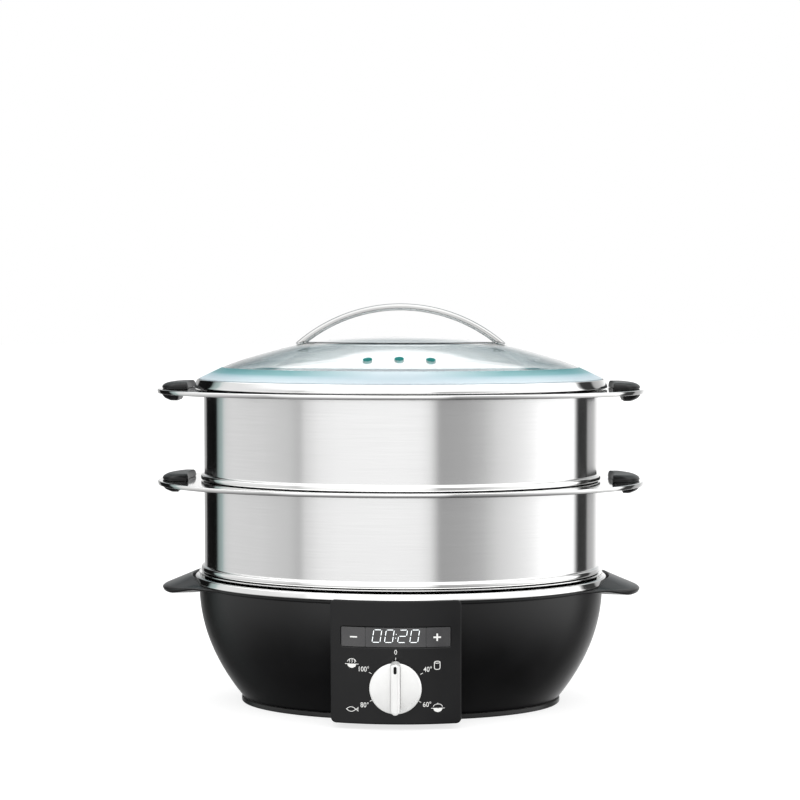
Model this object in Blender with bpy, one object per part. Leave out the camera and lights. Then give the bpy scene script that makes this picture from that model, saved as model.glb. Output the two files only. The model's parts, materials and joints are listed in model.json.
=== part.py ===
"""Two-tier electric steamer, which also cooks eggs: a black base with a steel water tank,
a timer panel and a temperature dial, two oval steel baskets and a glass lid.

Run it with: blender --background --python part.py
Lengths are in millimetres up to the mesh, and MM turns them into Blender's metres.
+Z is up, -Y is the front with the control panel, and the origin is on the table under the centre
of the whole. Everything is built about the axis of the ovals, which stands a little behind it.
"""

import math

import bmesh
import bpy
from mathutils import Matrix, Vector

MM = 0.001
GAP = 0.3  # clearance between pieces that touch
SEGMENTS = 36  # points round each oval
END_CROWDING = 0.12  # draws those points towards the two ends, where the ovals curve most
AXIS_DIFFERENCE = 48.5  # how much longer the half-width of each oval is than its half-depth

SET_BACK = 7.0  # the ovals' axis stands this far behind the origin, because the dial stands out

# Heights, from the table up
PLATE_BOTTOM, PLATE_TOP = 0.3, 4.2
FOOT_TOP = 2.0
COLLAR_BOTTOM, COLLAR_TOP = 99.8, 103.0
TANK_LIP_BOTTOM, TANK_TOP, TANK_FLOOR = 103.3, 108.8, 52.0
TRAY_RIM_TOP, TRAY_FLOOR = 109.9, 96.0
BASKET_BOTTOM = 110.3  # underside of the lower basket's foot bead
BASKET_HEIGHT = 75.7
STACK_GAP = 0.4
LID_BOTTOM = BASKET_BOTTOM + 2 * BASKET_HEIGHT + 2 * STACK_GAP
HANDLE_TOP = 332.8

# Half-widths of the ovals
PLATE_EDGE = 133.4
SHELL_WALL = 2.6
COLLAR_EDGE, COLLAR_INNER = 169.6, 163.6
TANK_LIP, TANK_WALL = 173.2, 163.1
TRAY_RIM, TRAY_WALL = 168.6, 161.9
BASKET_WALL, BASKET_BEAD, BASKET_SPIGOT, BASKET_LEDGE = 163.9, 166.8, 160.4, 152.5
SHEET = 1.0  # steel sheet of the baskets
GRID_EDGE, GRID_THICKNESS = 158.9, 1.0
LID_RIM_EDGE, LID_RIM_HEIGHT = 172.0, 7.7
GLASS_THICKNESS = 4.0

# Basket rims: longer ovals than the walls, so that an ear stands out at each end
RIM_A, RIM_B, RIM_INNER, RIM_LIP = 202.8, 124.6, 161.9, 3.6

# Wings of the base: half of their depth at the root, and how round their outline is
WING_HALF_DEPTH, WING_POWER = 62.0, 0.8

# Grips on the ears
GRIP_HALF_DEPTH, GRIP_HEIGHT, GRIP_INSET, GRIP_INNER = 26.0, 5.8, 3.4, 173.2
LOWER_GRIP_HALF_DEPTH, LOWER_GRIP_DEPTH, LOWER_GRIP_INNER = 19.0, 9.2, 180.5
GRIP_SCREW_X = 189.0

# Control panel, in its own frame: x right, y up the face, z out of the face
PANEL_CENTRE = Vector((0.0, -123.1, 53.45))
PANEL_TILT = math.radians(4.0)
PANEL_HALF_WIDTH, PANEL_HALF_HEIGHT, PANEL_RADIUS = 51.2, 49.35, 230.0
PANEL_WALL, PANEL_DEPTH = 2.8, 45.0
STRIP_Y, STRIP_HALF_HEIGHT, STRIP_HALF_WIDTH = 20.8, 8.2, 42.7
WINDOW_HALF_WIDTH = 23.6
DIAL_Y, DIAL_RADIUS = -18.6, 20.5
SPINDLE_RADIUS = 3.0
BOARD_FRONT, BOARD_BACK = -11.6, -13.2

# Handle of the lid: a flattened bar bent to one arc
HANDLE_HALF_HEIGHT, HANDLE_HALF_DEPTH, HANDLE_RADIUS = 3.0, 6.0, 129.5
HANDLE_FOOT_X = 82.0
VENT_Y, VENT_SPACING, VENT_RADIUS = -78.5, 25.6, 3.2

MATERIALS = {
    "black_plastic": ((0.022, 0.023, 0.025), 0.48, 0.0),
    "panel_plastic": ((0.018, 0.018, 0.019), 0.42, 0.0),
    "smoked_lens": ((0.03, 0.03, 0.032), 0.12, 0.0),
    "brushed_steel": ((0.62, 0.62, 0.61), 0.24, 1.0),
    "polished_steel": ((0.74, 0.74, 0.73), 0.08, 1.0),
    "glass": ((0.72, 0.88, 0.88), 0.03, 0.0),
    "grip_plastic": ((0.02, 0.02, 0.02), 0.35, 0.0),
    "dial_silver": ((0.84, 0.84, 0.83), 0.3, 0.6),
    "silicone": ((0.55, 0.57, 0.57), 0.6, 0.0),
    "rubber": ((0.03, 0.03, 0.03), 0.8, 0.0),
    "aluminium": ((0.7, 0.7, 0.71), 0.4, 1.0),
    "circuit_board": ((0.03, 0.18, 0.07), 0.5, 0.0),
    "dark_parts": ((0.05, 0.05, 0.05), 0.5, 0.0),
}


def clear_scene():
    for obj in list(bpy.data.objects):
        bpy.data.objects.remove(obj)


def make_materials():
    made = {}
    for name, (colour, roughness, metallic) in MATERIALS.items():
        material = bpy.data.materials.new(name)
        material.use_nodes = True
        shader = material.node_tree.nodes["Principled BSDF"]
        shader.inputs["Base Color"].default_value = (*colour, 1.0)
        shader.inputs["Roughness"].default_value = roughness
        shader.inputs["Metallic"].default_value = metallic
        made[name] = material
    return made


def add_object(name, bm, material, parent=None, smooth_angle=35.0):
    """Turns a bmesh in millimetres into a named object in metres."""
    bmesh.ops.transform(bm, matrix=Matrix.Scale(MM, 4), verts=bm.verts)
    bmesh.ops.recalc_face_normals(bm, faces=bm.faces)
    mesh = bpy.data.meshes.new(name)
    bm.to_mesh(mesh)
    bm.free()
    mesh.shade_smooth()
    mesh.set_sharp_from_angle(angle=math.radians(smooth_angle))
    if material:
        mesh.materials.append(material)
    obj = bpy.data.objects.new(name, mesh)
    bpy.context.scene.collection.objects.link(obj)
    obj.parent = parent
    return obj


def add_empty(name, location, rotation=(0.0, 0.0, 0.0)):
    """A frame to build in, at a place in millimetres."""
    empty = bpy.data.objects.new(name, None)
    empty.location = Vector(location) * MM
    empty.rotation_euler = rotation
    bpy.context.scene.collection.objects.link(empty)
    return empty


def hide_cutter(obj):
    obj.hide_render = True
    obj.display_type = "WIRE"
    return obj


def boolean(obj, other, operation="DIFFERENCE"):
    modifier = obj.modifiers.new(f"{operation.lower()} {other.name}", "BOOLEAN")
    modifier.operation = operation
    modifier.solver = "EXACT"
    modifier.object = hide_cutter(other)


def skin(loops, wrap):
    """A bmesh over a row of closed loops: wrapped back to the first, or capped at both ends."""
    bm = bmesh.new()
    rings = [[bm.verts.new(point) for point in loop] for loop in loops]
    pairs = list(zip(rings, rings[1:]))
    if wrap:
        pairs.append((rings[-1], rings[0]))
    for lower, upper in pairs:
        for i in range(len(lower)):
            j = (i + 1) % len(lower)
            bm.faces.new((lower[i], lower[j], upper[j], upper[i]))
    if not wrap:
        bm.faces.new(rings[0])
        bm.faces.new(rings[-1])
    return bm


def half_depth(half_width):
    return half_width - AXIS_DIFFERENCE


def oval(a, z, b=None):
    """A closed oval loop of half-width a at this height."""
    b = half_depth(a) if b is None else b
    loop = []
    for i in range(SEGMENTS):
        t = 2 * math.pi * i / SEGMENTS
        t -= END_CROWDING * math.sin(2 * t)
        loop.append((a * math.cos(t), b * math.sin(t), z))
    return loop


def ring_body(name, profile, material, parent=None):
    """An oval ring with this cross-section, as (half-width, height) pairs."""
    return add_object(name, skin([oval(a, z) for a, z in profile], True), material, parent)


def dish_body(name, profile, material, parent=None):
    """An oval solid that is closed at both ends of this (half-width, height) profile."""
    return add_object(name, skin([oval(a, z) for a, z in profile], False), material, parent)


def turned(name, profile, material, parent=None, sides=16, centre=(0.0, 0.0)):
    """A solid turned about the local z axis from a profile of (radius, height) pairs, closed at both ends."""
    loops = []
    for radius, z in profile:
        angles = [2 * math.pi * i / sides for i in range(sides)]
        loops.append(
            [(centre[0] + radius * math.cos(t), centre[1] + radius * math.sin(t), z) for t in angles]
        )
    return add_object(name, skin(loops, False), material, parent)


def turned_group(name, profile, centres, sides=16):
    """One cutter made of the same turned solid at several places."""
    bm = bmesh.new()
    for centre in centres:
        part = turned(f"{name}_part", profile, None, sides=sides, centre=centre)
        bm.from_mesh(part.data)
        bpy.data.objects.remove(part)
    bmesh.ops.transform(bm, matrix=Matrix.Scale(1 / MM, 4), verts=bm.verts)
    return hide_cutter(add_object(name, bm, None))


def box(name, low, high, material, parent=None):
    bm = bmesh.new()
    low, high = Vector(low), Vector(high)
    size = Matrix.Diagonal((*(high - low), 1.0))
    bmesh.ops.create_cube(bm, size=1.0, matrix=Matrix.Translation((low + high) / 2) @ size)
    return add_object(name, bm, material, parent)


def interpolate(table, key):
    """Straight-line reading of a table of (key, value) pairs sorted by key."""
    for (k0, v0), (k1, v1) in zip(table, table[1:]):
        if key <= k1:
            return v0 + (v1 - v0) * (key - k0) / (k1 - k0)
    return table[-1][1]


# ---------------------------------------------------------------- base

SHELL_PROFILE = (  # (half-width, height) of the bowl's outside
    (132.0, 4.5), (135.9, 9.2), (143.2, 19.5), (151.1, 32.5), (158.1, 47.0),
    (163.5, 62.5), (167.0, 79.0), (168.4, 99.5),
)
SCREW_POSTS = [(sx * 103.0, sy * 48.0) for sx in (-1, 1) for sy in (-1, 1)]
FEET = [(sx * 88.0, sy * 36.0) for sx in (-1, 1) for sy in (-1, 1)]


def corner_names(places):
    """(name of the corner, place) for each of four places."""
    for x, y in places:
        side = "left" if x < 0 else "right"
        end = "front" if y < 0 else "back"
        yield f"{end}_{side}", (x, y)


def base_shell(mats):
    outside = list(SHELL_PROFILE)
    inside = [(a - SHELL_WALL, z) for a, z in outside[:1] + outside[2::2] + outside[-1:]]
    shell = ring_body("base_shell", outside + inside[::-1], mats["black_plastic"])
    window = box("shell_window", (-43.0, -140.0, 18.0), (43.0, -80.0, 92.0), None)
    boolean(shell, window)
    posts = turned_group("screw_posts", ((5.0, 5.0), (5.0, 24.0)), SCREW_POSTS, sides=10)
    boolean(shell, posts, "UNION")
    holes = turned_group("screw_post_holes", ((1.9, 3.0), (1.9, 17.0)), SCREW_POSTS, sides=8)
    boolean(shell, holes)
    return shell


def base_plate(mats):
    profile = (
        (PLATE_EDGE - 1.2, PLATE_BOTTOM),
        (PLATE_EDGE, PLATE_BOTTOM + 1.0),
        (PLATE_EDGE, PLATE_TOP),
        (PLATE_EDGE - 4.0, PLATE_TOP),
        (PLATE_EDGE - 4.6, PLATE_TOP - 0.6),
    )
    plate = dish_body("base_plate", profile, mats["black_plastic"])
    recess = ((8.4, -1.0), (8.4, FOOT_TOP + GAP))
    boolean(plate, turned_group("foot_recesses", recess, FEET, sides=12))
    countersink = ((3.5, -1.0), (3.5, 2.6), (1.9, 2.6), (1.9, 8.0))
    boolean(plate, turned_group("screw_countersinks", countersink, SCREW_POSTS, sides=8))


def feet_and_screws(mats):
    for corner, place in corner_names(FEET):
        pad = ((7.2, 0.0), (8.0, 0.7), (8.0, FOOT_TOP))
        turned(f"foot_{corner}", pad, mats["rubber"], sides=12, centre=place)
    for corner, place in corner_names(SCREW_POSTS):
        screw = ((2.4, 1.1), (3.1, 1.5), (3.1, 2.3), (1.5, 2.3), (1.5, 13.0), (0.5, 15.0))
        turned(f"base_screw_{corner}", screw, mats["polished_steel"], sides=8, centre=place)


def ramp(value, low, high):
    """0 below low, 1 above high and a straight line between them."""
    return min(1.0, max(0.0, (value - low) / (high - low)))


def winged_oval(a, z, root=0.0, reach=0.0, rise=0.0):
    """An oval loop whose two ends move out and up: past the tank's lip by root, then by reach."""
    loop = []
    for x, y, _ in oval(a, z):
        share = max(0.0, 1.0 - (y / WING_HALF_DEPTH) ** 2) ** WING_POWER
        out = root * ramp(share, 0.0, 0.3) + reach * share
        loop.append((x + math.copysign(out, x), y, z + rise * ramp(share, 0.5, 0.85)))
    return loop


def wing_collar(mats):
    """The moulded ring that carries the tank, with a wing at each end to lift the base by."""
    edge, top, low = COLLAR_EDGE, COLLAR_TOP, COLLAR_BOTTOM
    spigot = SHELL_PROFILE[-1][0] - SHELL_WALL - 2 * GAP
    loops = [
        oval(COLLAR_INNER, top),
        winged_oval(edge - 1.2, top),
        winged_oval(edge - 0.4, top - 0.1, root=4.8),
        winged_oval(edge - 0.3, top - 0.4, root=5.0, rise=4.8),
        winged_oval(edge - 0.1, top - 1.0, reach=28.4, rise=-4.0),
        winged_oval(edge, top - 2.0, reach=30.4, rise=-4.8),
        winged_oval(edge - 0.3, low + 0.3, reach=29.2, rise=-5.6),
        winged_oval(edge - 0.6, low, reach=3.6, rise=-4.6),
        oval(edge - 0.8, low),
        oval(spigot, low),
        oval(spigot, low - 4.0),
        oval(COLLAR_INNER, low - 4.0),
    ]
    return add_object("wing_collar", skin(loops, True), mats["black_plastic"])


def water_tank(mats):
    profile = (
        (TANK_WALL - 0.8, TANK_TOP),
        (TANK_LIP - 1.6, TANK_TOP),
        (TANK_LIP, TANK_TOP - 2.0),
        (TANK_LIP - 0.4, TANK_LIP_BOTTOM),
        (TANK_LIP - 1.9, TANK_LIP_BOTTOM),
        (TANK_LIP - 2.0, TANK_TOP - 1.2),
        (TANK_WALL, TANK_TOP - 1.0),
        (TANK_WALL, 94.0),
        (TANK_WALL - 14.0, 88.0),
        (TANK_WALL - 20.0, 60.0),
        (TANK_WALL - 28.0, TANK_FLOOR),
    )
    inside = (
        (TANK_WALL - 28.4, TANK_FLOOR + 0.8),
        (TANK_WALL - 20.8, 60.2),
        (TANK_WALL - 14.7, 88.6),
        (TANK_WALL - 0.8, 94.5),
    )
    body = ring_or_floor(profile, inside)
    return add_object("water_tank", body, mats["polished_steel"])


def ring_or_floor(outside, inside):
    """A vessel: the outside runs down to the floor's underside, and the inside back up to the rim."""
    loops = [oval(a, z) for a, z in outside]
    bottom = [oval(a, z) for a, z in inside]
    bm = skin(loops + bottom, True)
    bm.faces.ensure_lookup_table()
    n = SEGMENTS
    first = (len(outside) - 1) * n
    bmesh.ops.delete(bm, geom=bm.faces[first : first + n], context="FACES_ONLY")
    bmesh.ops.holes_fill(bm, edges=[e for e in bm.edges if e.is_boundary], sides=n)
    return bm


def tank_gasket(mats):
    inner, outer = TANK_WALL + 1.4, TANK_LIP - 3.2
    low, high = COLLAR_TOP + GAP, TANK_TOP - 1.7
    profile = ((inner, low), (outer, low), (outer, high), (inner, high))
    ring_body("tank_gasket", profile, mats["silicone"])


def heater(mats):
    """The heating plate under the tank floor, its tubular element and the thermostat."""
    top = TANK_FLOOR - GAP
    loops = [oval(a, z, b=0.6 * a) for a, z in ((76.0, top - 5.0), (78.0, top - 4.0), (78.0, top))]
    add_object("heater_plate", skin(loops, False), mats["aluminium"])
    curve = bpy.data.curves.new("heating_element", "CURVE")
    curve.dimensions = "3D"
    curve.bevel_depth = 3.2 * MM
    curve.bevel_resolution = 1
    curve.use_fill_caps = True
    z = top - 5.0 - GAP - 3.3
    points = [(-10.0, -32.0, z - 14.0), (-10.0, -32.0, z - 5.0)]
    for i in range(21):
        t = math.radians(-80.0 - i * 340.0 / 20)
        points.append((62.0 * math.cos(t) - 5.0 * math.sin(t), 34.0 * math.sin(t), z))
    points[2] = (-14.0, -33.0, z)
    points += [(10.0, -32.0, z - 5.0), (10.0, -32.0, z - 14.0)]
    points[-3] = (14.0, -33.0, z)
    spline = curve.splines.new("POLY")
    spline.points.add(len(points) - 1)
    for point, place in zip(spline.points, points):
        point.co = (*(Vector(place) * MM), 1.0)
    curve.materials.append(mats["polished_steel"])
    element = bpy.data.objects.new("heating_element", curve)
    bpy.context.scene.collection.objects.link(element)
    disc = ((4.0, top - 16.0), (8.0, top - 14.5), (8.0, top - 7.0), (11.0, top - 7.0), (11.0, top - 5.3))
    turned("thermostat", disc, mats["dark_parts"])


def cord_gland(mats):
    """The bush in the back wall that a mains lead would come out of."""
    height, slope = 30.0, math.radians(28.0)
    half_width = interpolate([(z, a) for a, z in SHELL_PROFILE], height)
    place = (0.0, half_depth(half_width), height)
    frame = add_empty("gland_frame", place, (-(math.pi / 2 + slope), 0.0, 0.0))
    shell = bpy.data.objects["base_shell"]
    hole = turned("gland_hole", ((7.0, -8.0), (7.0, 8.0)), None, frame)
    boolean(shell, hole)
    body = (
        (6.5, -6.0), (6.6, 0.5), (9.5, 0.6), (9.5, 2.4), (7.0, 3.4), (6.2, 9.0),
        (3.8, 9.0), (3.8, -4.0),
    )
    turned("cord_gland", body, mats["rubber"], frame)


# ---------------------------------------------------------------- control panel


def face_z(x):
    """The panel's face curves gently back towards its sides."""
    return -(PANEL_RADIUS - math.sqrt(PANEL_RADIUS**2 - x**2))


def face_block(name, x0, x1, y0, y1, front, back, material, parent, steps=6):
    """A block whose front and back follow the curved face, front and back being offsets from it."""
    xs = [x0 + (x1 - x0) * i / steps for i in range(steps + 1)]
    outline = [(x, face_z(x) + front) for x in xs]
    if back is None:
        outline += [(x1, -PANEL_DEPTH), (x0, -PANEL_DEPTH)]
    else:
        outline += [(x, face_z(x) + back) for x in reversed(xs)]
    loops = [[(x, y, z) for x, z in outline] for y in (y0, y1)]
    return add_object(name, skin(loops, False), material, parent)


def rounded_prism(name, half_width, low, high, radius, depth, parent):
    """A cutter as wide and high as the panel, with round corners, running along the panel's z."""
    corners = ((1, 1), (-1, 1), (-1, -1), (1, -1))
    outline = []
    for index, (sx, sy) in enumerate(corners):
        cx, cy = sx * (half_width - radius), (high if sy > 0 else low) - sy * radius
        for step in range(5):
            t = math.radians(90.0 * index + 22.5 * step)
            outline.append((cx + radius * math.cos(t), cy + radius * math.sin(t)))
    loops = [[(x, y, z) for x, y in outline] for z in (-depth, depth)]
    return hide_cutter(add_object(name, skin(loops, False), None, parent))


def control_panel(mats):
    """The housing on the front of the base, with everything that sits in its face."""
    frame = add_empty("panel_frame", PANEL_CENTRE, (math.pi / 2 + PANEL_TILT, 0.0, 0.0))
    w, h = PANEL_HALF_WIDTH, PANEL_HALF_HEIGHT
    housing = face_block("control_housing", -w, w, -h, h, 0.0, None, mats["panel_plastic"], frame, 12)
    boolean(housing, rounded_prism("panel_outline", w + 0.01, -h - 0.01, h + 0.01, 4.0, 80.0, frame),
            "INTERSECT")
    wall = PANEL_WALL
    boolean(housing, face_block("panel_cavity", wall - w, w - wall, wall - h, h - wall, -wall, None,
                                None, frame, 12))
    bowl = [(a + GAP, z) for a, z in SHELL_PROFILE[:-1]]
    bowl[0] = (SHELL_PROFILE[0][0] - 6.0, -5.0)
    bowl += [(SHELL_PROFILE[-1][0] + GAP, COLLAR_BOTTOM - 0.4), (COLLAR_EDGE + GAP, COLLAR_BOTTOM - 0.3),
             (COLLAR_EDGE + GAP, 110.0)]
    boolean(housing, dish_body("bowl_clearance", bowl, None))
    top_cut = box("panel_top_cut", (-60.0, -140.0, TANK_LIP_BOTTOM - GAP), (60.0, -60.0, 120.0), None)
    boolean(housing, top_cut)
    sx, sy = STRIP_HALF_WIDTH, STRIP_HALF_HEIGHT
    boolean(housing, box("strip_opening", (-sx, STRIP_Y - sy, -20.0), (sx, STRIP_Y + sy, 10.0), None, frame))
    dial_hole = turned("dial_hole", ((4.5, -25.0), (4.5, 10.0)), None, frame, centre=(0.0, DIAL_Y))
    boolean(housing, dial_hole)
    return frame


def display_strip(mats, frame):
    top, low = STRIP_Y + STRIP_HALF_HEIGHT - GAP, STRIP_Y - STRIP_HALF_HEIGHT + GAP
    w = WINDOW_HALF_WIDTH
    face_block("display_window", -w, w, low, top, -0.4, -2.2, mats["smoked_lens"], frame)
    box("display_module", (-w + 1.6, low + 0.6, BOARD_FRONT + GAP), (w - 1.6, top - 0.6, -4.0),
        mats["dark_parts"], frame)
    for name, side in (("minus", -1), ("plus", 1)):
        x0, x1 = sorted((side * (w + 0.4), side * (STRIP_HALF_WIDTH - GAP)))
        cap = face_block(f"{name}_button", x0, x1, low, top, 0.0, -3.9, mats["smoked_lens"], frame, 4)
        x0, x1 = sorted((side * (w + 0.6), side * (STRIP_HALF_WIDTH + 1.2)))
        flange = face_block(f"{name}_flange", x0, x1, low - 1.4, top + 1.4, -3.5, -4.7, None, frame, 4)
        boolean(cap, flange, "UNION")
        x = side * 33.0
        box(f"{name}_switch", (x - 3.0, STRIP_Y - 3.0, BOARD_FRONT + GAP), (x + 3.0, STRIP_Y + 3.0, -9.0),
            mats["dark_parts"], frame)


def dial(mats, frame):
    """The temperature dial on its spindle, and the rotary switch that the spindle turns."""
    axis = add_empty("dial_axis", (0.0, DIAL_Y, 0.0))
    axis.parent = frame
    box("control_board", (-40.0, DIAL_Y - 14.0, BOARD_BACK), (40.0, STRIP_Y + 10.0, BOARD_FRONT),
        mats["circuit_board"], frame)
    switch = box("rotary_switch", (-12.0, -12.0, BOARD_FRONT + GAP), (12.0, 12.0, -3.8),
                 mats["dark_parts"], axis)
    bore = SPINDLE_RADIUS + GAP
    boolean(switch, turned("switch_bore", ((bore, -8.2), (bore, 5.0)), None, axis))
    spindle = ((SPINDLE_RADIUS, -7.9), (SPINDLE_RADIUS, 6.5), (SPINDLE_RADIUS - 0.6, 7.1))
    turned("dial_spindle", spindle, mats["polished_steel"], axis)
    r = DIAL_RADIUS
    disc = ((r - 0.4, 0.9), (r, 1.6), (r, 5.8), (r - 0.9, 7.0), (r * 0.6, 8.2), (r * 0.25, 8.7))
    knob = turned("dial_knob", disc, mats["dial_silver"], axis, sides=32)
    half, long = 3.5, DIAL_RADIUS + 1.2
    outline = []
    for end in (1, -1):
        for step in range(7):
            t = math.radians(-90.0 + 30.0 * step)
            outline.append((-end * half * math.sin(t), end * (long - half + half * math.cos(t))))
    loops = [
        [(x, y, 4.0) for x, y in outline],
        [(x, y, 14.0) for x, y in outline],
        [(x * 0.72, y * 0.96, 15.2) for x, y in outline],
    ]
    boolean(knob, add_object("dial_ridge", skin(loops, False), None, axis), "UNION")
    boolean(knob, turned("knob_bore", ((bore, -5.0), (bore, 7.5)), None, axis))


# ---------------------------------------------------------------- tray and baskets


def juice_tray(mats):
    """The drip tray that hangs in the tank's mouth, with a chimney that lets the steam up."""
    w = TRAY_WALL
    loops = [oval(a, z) for a, z in (
        (TRAY_RIM, TRAY_RIM_TOP - 0.8), (TRAY_RIM, TRAY_RIM_TOP), (w - 0.8, TRAY_RIM_TOP),
        (w - 0.8, 104.0), (w - 8.0, TRAY_FLOOR + 0.8),
    )]
    chimney = ((62.0, TRAY_FLOOR + 0.8), (60.0, 103.6), (58.8, 103.6), (60.8, TRAY_FLOOR))
    loops += [oval(a, z, b=0.5 * a) for a, z in chimney]
    loops += [oval(a, z) for a, z in ((w - 7.4, TRAY_FLOOR), (w, 103.8), (w, TRAY_RIM_TOP - 0.8))]
    return add_object("juice_tray", skin(loops, True), mats["polished_steel"])


def basket_shell(name, bottom, mats):
    top = bottom + BASKET_HEIGHT - SHEET - GAP
    bead, wall = BASKET_BEAD, BASKET_WALL
    profile = (
        (wall, top), (wall, bottom + 6.6), (bead, bottom + 4.8), (bead, bottom + 1.6),
        (bead - 2.0, bottom), (BASKET_SPIGOT, bottom), (BASKET_SPIGOT, bottom - 4.2),
        (BASKET_LEDGE, bottom - 4.2), (BASKET_LEDGE, bottom - 3.2),
        (BASKET_SPIGOT - 0.9, bottom - 3.2), (BASKET_SPIGOT - 0.9, bottom + 1.2),
        (wall - SHEET, bottom + 3.6), (wall - SHEET, top),
    )
    return ring_body(name, profile, mats["brushed_steel"])


def basket_rim(name, top, mats):
    """The flat rim, wide enough at each end to make an ear, with a lip turned down all round."""
    loops = [oval(RIM_INNER, top - SHEET), oval(RIM_INNER, top)]
    for inset, z in ((0.8, top), (0.0, top - 0.8), (0.0, top - RIM_LIP), (1.2, top - RIM_LIP),
                     (1.2, top - SHEET)):
        loops.append(oval(RIM_A - inset, z, b=RIM_B - inset))
    rim = add_object(name, skin(loops, True), mats["polished_steel"])
    holes = [(-GRIP_SCREW_X, 0.0), (GRIP_SCREW_X, 0.0)]
    boolean(rim, turned_group(f"{name}_holes", ((2.0, top - 6.0), (2.0, top + 4.0)), holes, sides=8))


def oval_x(a, b, y):
    return a * math.sqrt(1 - (y / b) ** 2)


def grip_outline(side, half, inner, inset):
    """A pad's outline on an ear: its outer edge follows the rim and its inner edge the basket."""
    steps = 6
    ys = [-half + 2 * half * i / steps for i in range(steps + 1)]
    outer = [(oval_x(RIM_A - inset, RIM_B - inset, y), y) for y in ys]
    hollow = [(oval_x(inner, half_depth(inner), y), y) for y in reversed(ys)]
    return [(side * x, y) for x, y in outer + hollow]


def grip_pad(name, side, layers, half, inner, material):
    """A pad on an ear, from layers of (how far its edges draw in, height)."""
    loops = []
    for drawn_in, z in layers:
        outline = grip_outline(side, half - 1.5 * drawn_in, inner + 0.5 * drawn_in, GRIP_INSET + drawn_in)
        loops.append([(x, y, z) for x, y in outline])
    return add_object(name, skin(loops, False), material)


def grips(level, top, mats):
    """Each ear is held between a wide pad above and a small finger rest below, by one screw."""
    black = mats["grip_plastic"]
    high, low = top + GRIP_HEIGHT, top - LOWER_GRIP_DEPTH
    upper_layers = ((0.6, top + GAP), (0.0, top + 1.6), (0.4, high - 2.6), (2.0, high - 0.9), (5.2, high))
    lower_layers = ((0.0, top - SHEET - GAP), (0.3, top - 4.0), (2.0, low + 2.0), (5.4, low))
    shaft, head = 1.5, low + 2.6
    for label, side in (("left", -1), ("right", 1)):
        upper = grip_pad(f"{level}_grip_{label}_top", side, upper_layers, GRIP_HALF_DEPTH, GRIP_INNER, black)
        lower = grip_pad(f"{level}_grip_{label}_bottom", side, lower_layers, LOWER_GRIP_HALF_DEPTH,
                         LOWER_GRIP_INNER, black)
        centre = (side * GRIP_SCREW_X, 0.0)
        hole = ((3.1, top - 14.0), (3.1, head + GAP), (1.9, head + GAP), (1.9, top + 3.6))
        cutter = turned(f"{level}_{label}_screw_hole", hole, None, sides=8, centre=centre)
        boolean(upper, cutter)
        boolean(lower, cutter)
        screw = ((2.2, head - 1.7), (2.7, head - 1.3), (2.7, head), (shaft, head), (shaft, top + 3.2))
        turned(f"{level}_grip_screw_{label}", screw, mats["polished_steel"], sides=8, centre=centre)


def grid_holes():
    """Rows of round holes, every second row moved by half a step."""
    step_x, step_y, places = 36.0, 30.0, []
    for row in range(-3, 4):
        for column in range(-5, 6):
            x = (column + 0.5 * (row % 2)) * step_x
            y = row * step_y
            if (x / (GRID_EDGE - 14.0)) ** 2 + (y / (half_depth(GRID_EDGE) - 13.0)) ** 2 < 1:
                places.append((x, y))
    return places


def basket_grid(name, bottom, mats):
    low = bottom - 3.2 + GAP
    profile = ((GRID_EDGE, low), (GRID_EDGE, low + GRID_THICKNESS))
    grid = dish_body(name, profile, mats["brushed_steel"])
    punch = ((4.2, low - 3.0), (4.2, low + 4.0))
    boolean(grid, turned_group(f"{name}_punch", punch, grid_holes(), sides=6))


def basket(level, bottom, mats):
    top = bottom + BASKET_HEIGHT
    basket_shell(f"{level}_basket_wall", bottom, mats)
    basket_rim(f"{level}_basket_rim", top, mats)
    basket_grid(f"{level}_basket_grid", bottom, mats)
    grips(level, top, mats)


# ---------------------------------------------------------------- lid

GLASS_PROFILE = (  # (half-width, height) of the glass's upper surface, from the edge to the top
    (167.6, 271.0), (149.0, 279.8), (134.1, 285.7), (117.3, 290.7), (96.0, 296.5), (76.0, 300.4),
    (44.0, 304.2), (12.0, 305.4),
)


def glass_depth(a):
    """The dome is rounder towards its edge than towards its top."""
    return a * (0.60 + 0.112 * a / GLASS_PROFILE[0][0])


def glass_height(x):
    return interpolate([(a, z) for a, z in reversed(GLASS_PROFILE)], abs(x))


def lid_glass(mats, feet):
    upper = [oval(a, z, b=glass_depth(a)) for a, z in GLASS_PROFILE]
    lower = [oval(a - 0.6, z - GLASS_THICKNESS, b=glass_depth(a) - 0.6) for a, z in GLASS_PROFILE]
    glass = add_object("lid_glass", skin(list(reversed(upper)) + lower, False), mats["glass"])
    vents = [(VENT_SPACING * i, VENT_Y) for i in (-1, 0, 1)]
    boolean(glass, turned_group("vent_holes", ((VENT_RADIUS, 270.0), (VENT_RADIUS, 310.0)), vents, 12))
    for label, frame in feet.items():
        hole = turned(f"handle_hole_{label}", ((2.4, -12.0), (2.4, 6.0)), None, frame, sides=8)
        boolean(glass, hole)


def lid_rim(mats):
    """The polished ring that carries the glass and drops a spigot into the basket."""
    z, e = LID_BOTTOM, LID_RIM_EDGE
    profile = (
        (164.4, z + 3.3), (168.6, z + 4.3), (168.9, z + LID_RIM_HEIGHT),
        (e - 1.4, z + LID_RIM_HEIGHT), (e, z + 4.6), (e - 1.4, z + 1.2), (e - 5.4, z),
        (161.2, z), (161.2, z - 4.0), (160.2, z - 4.0), (160.2, z + 1.4),
    )
    ring_body("lid_rim", profile, mats["polished_steel"])


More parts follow.
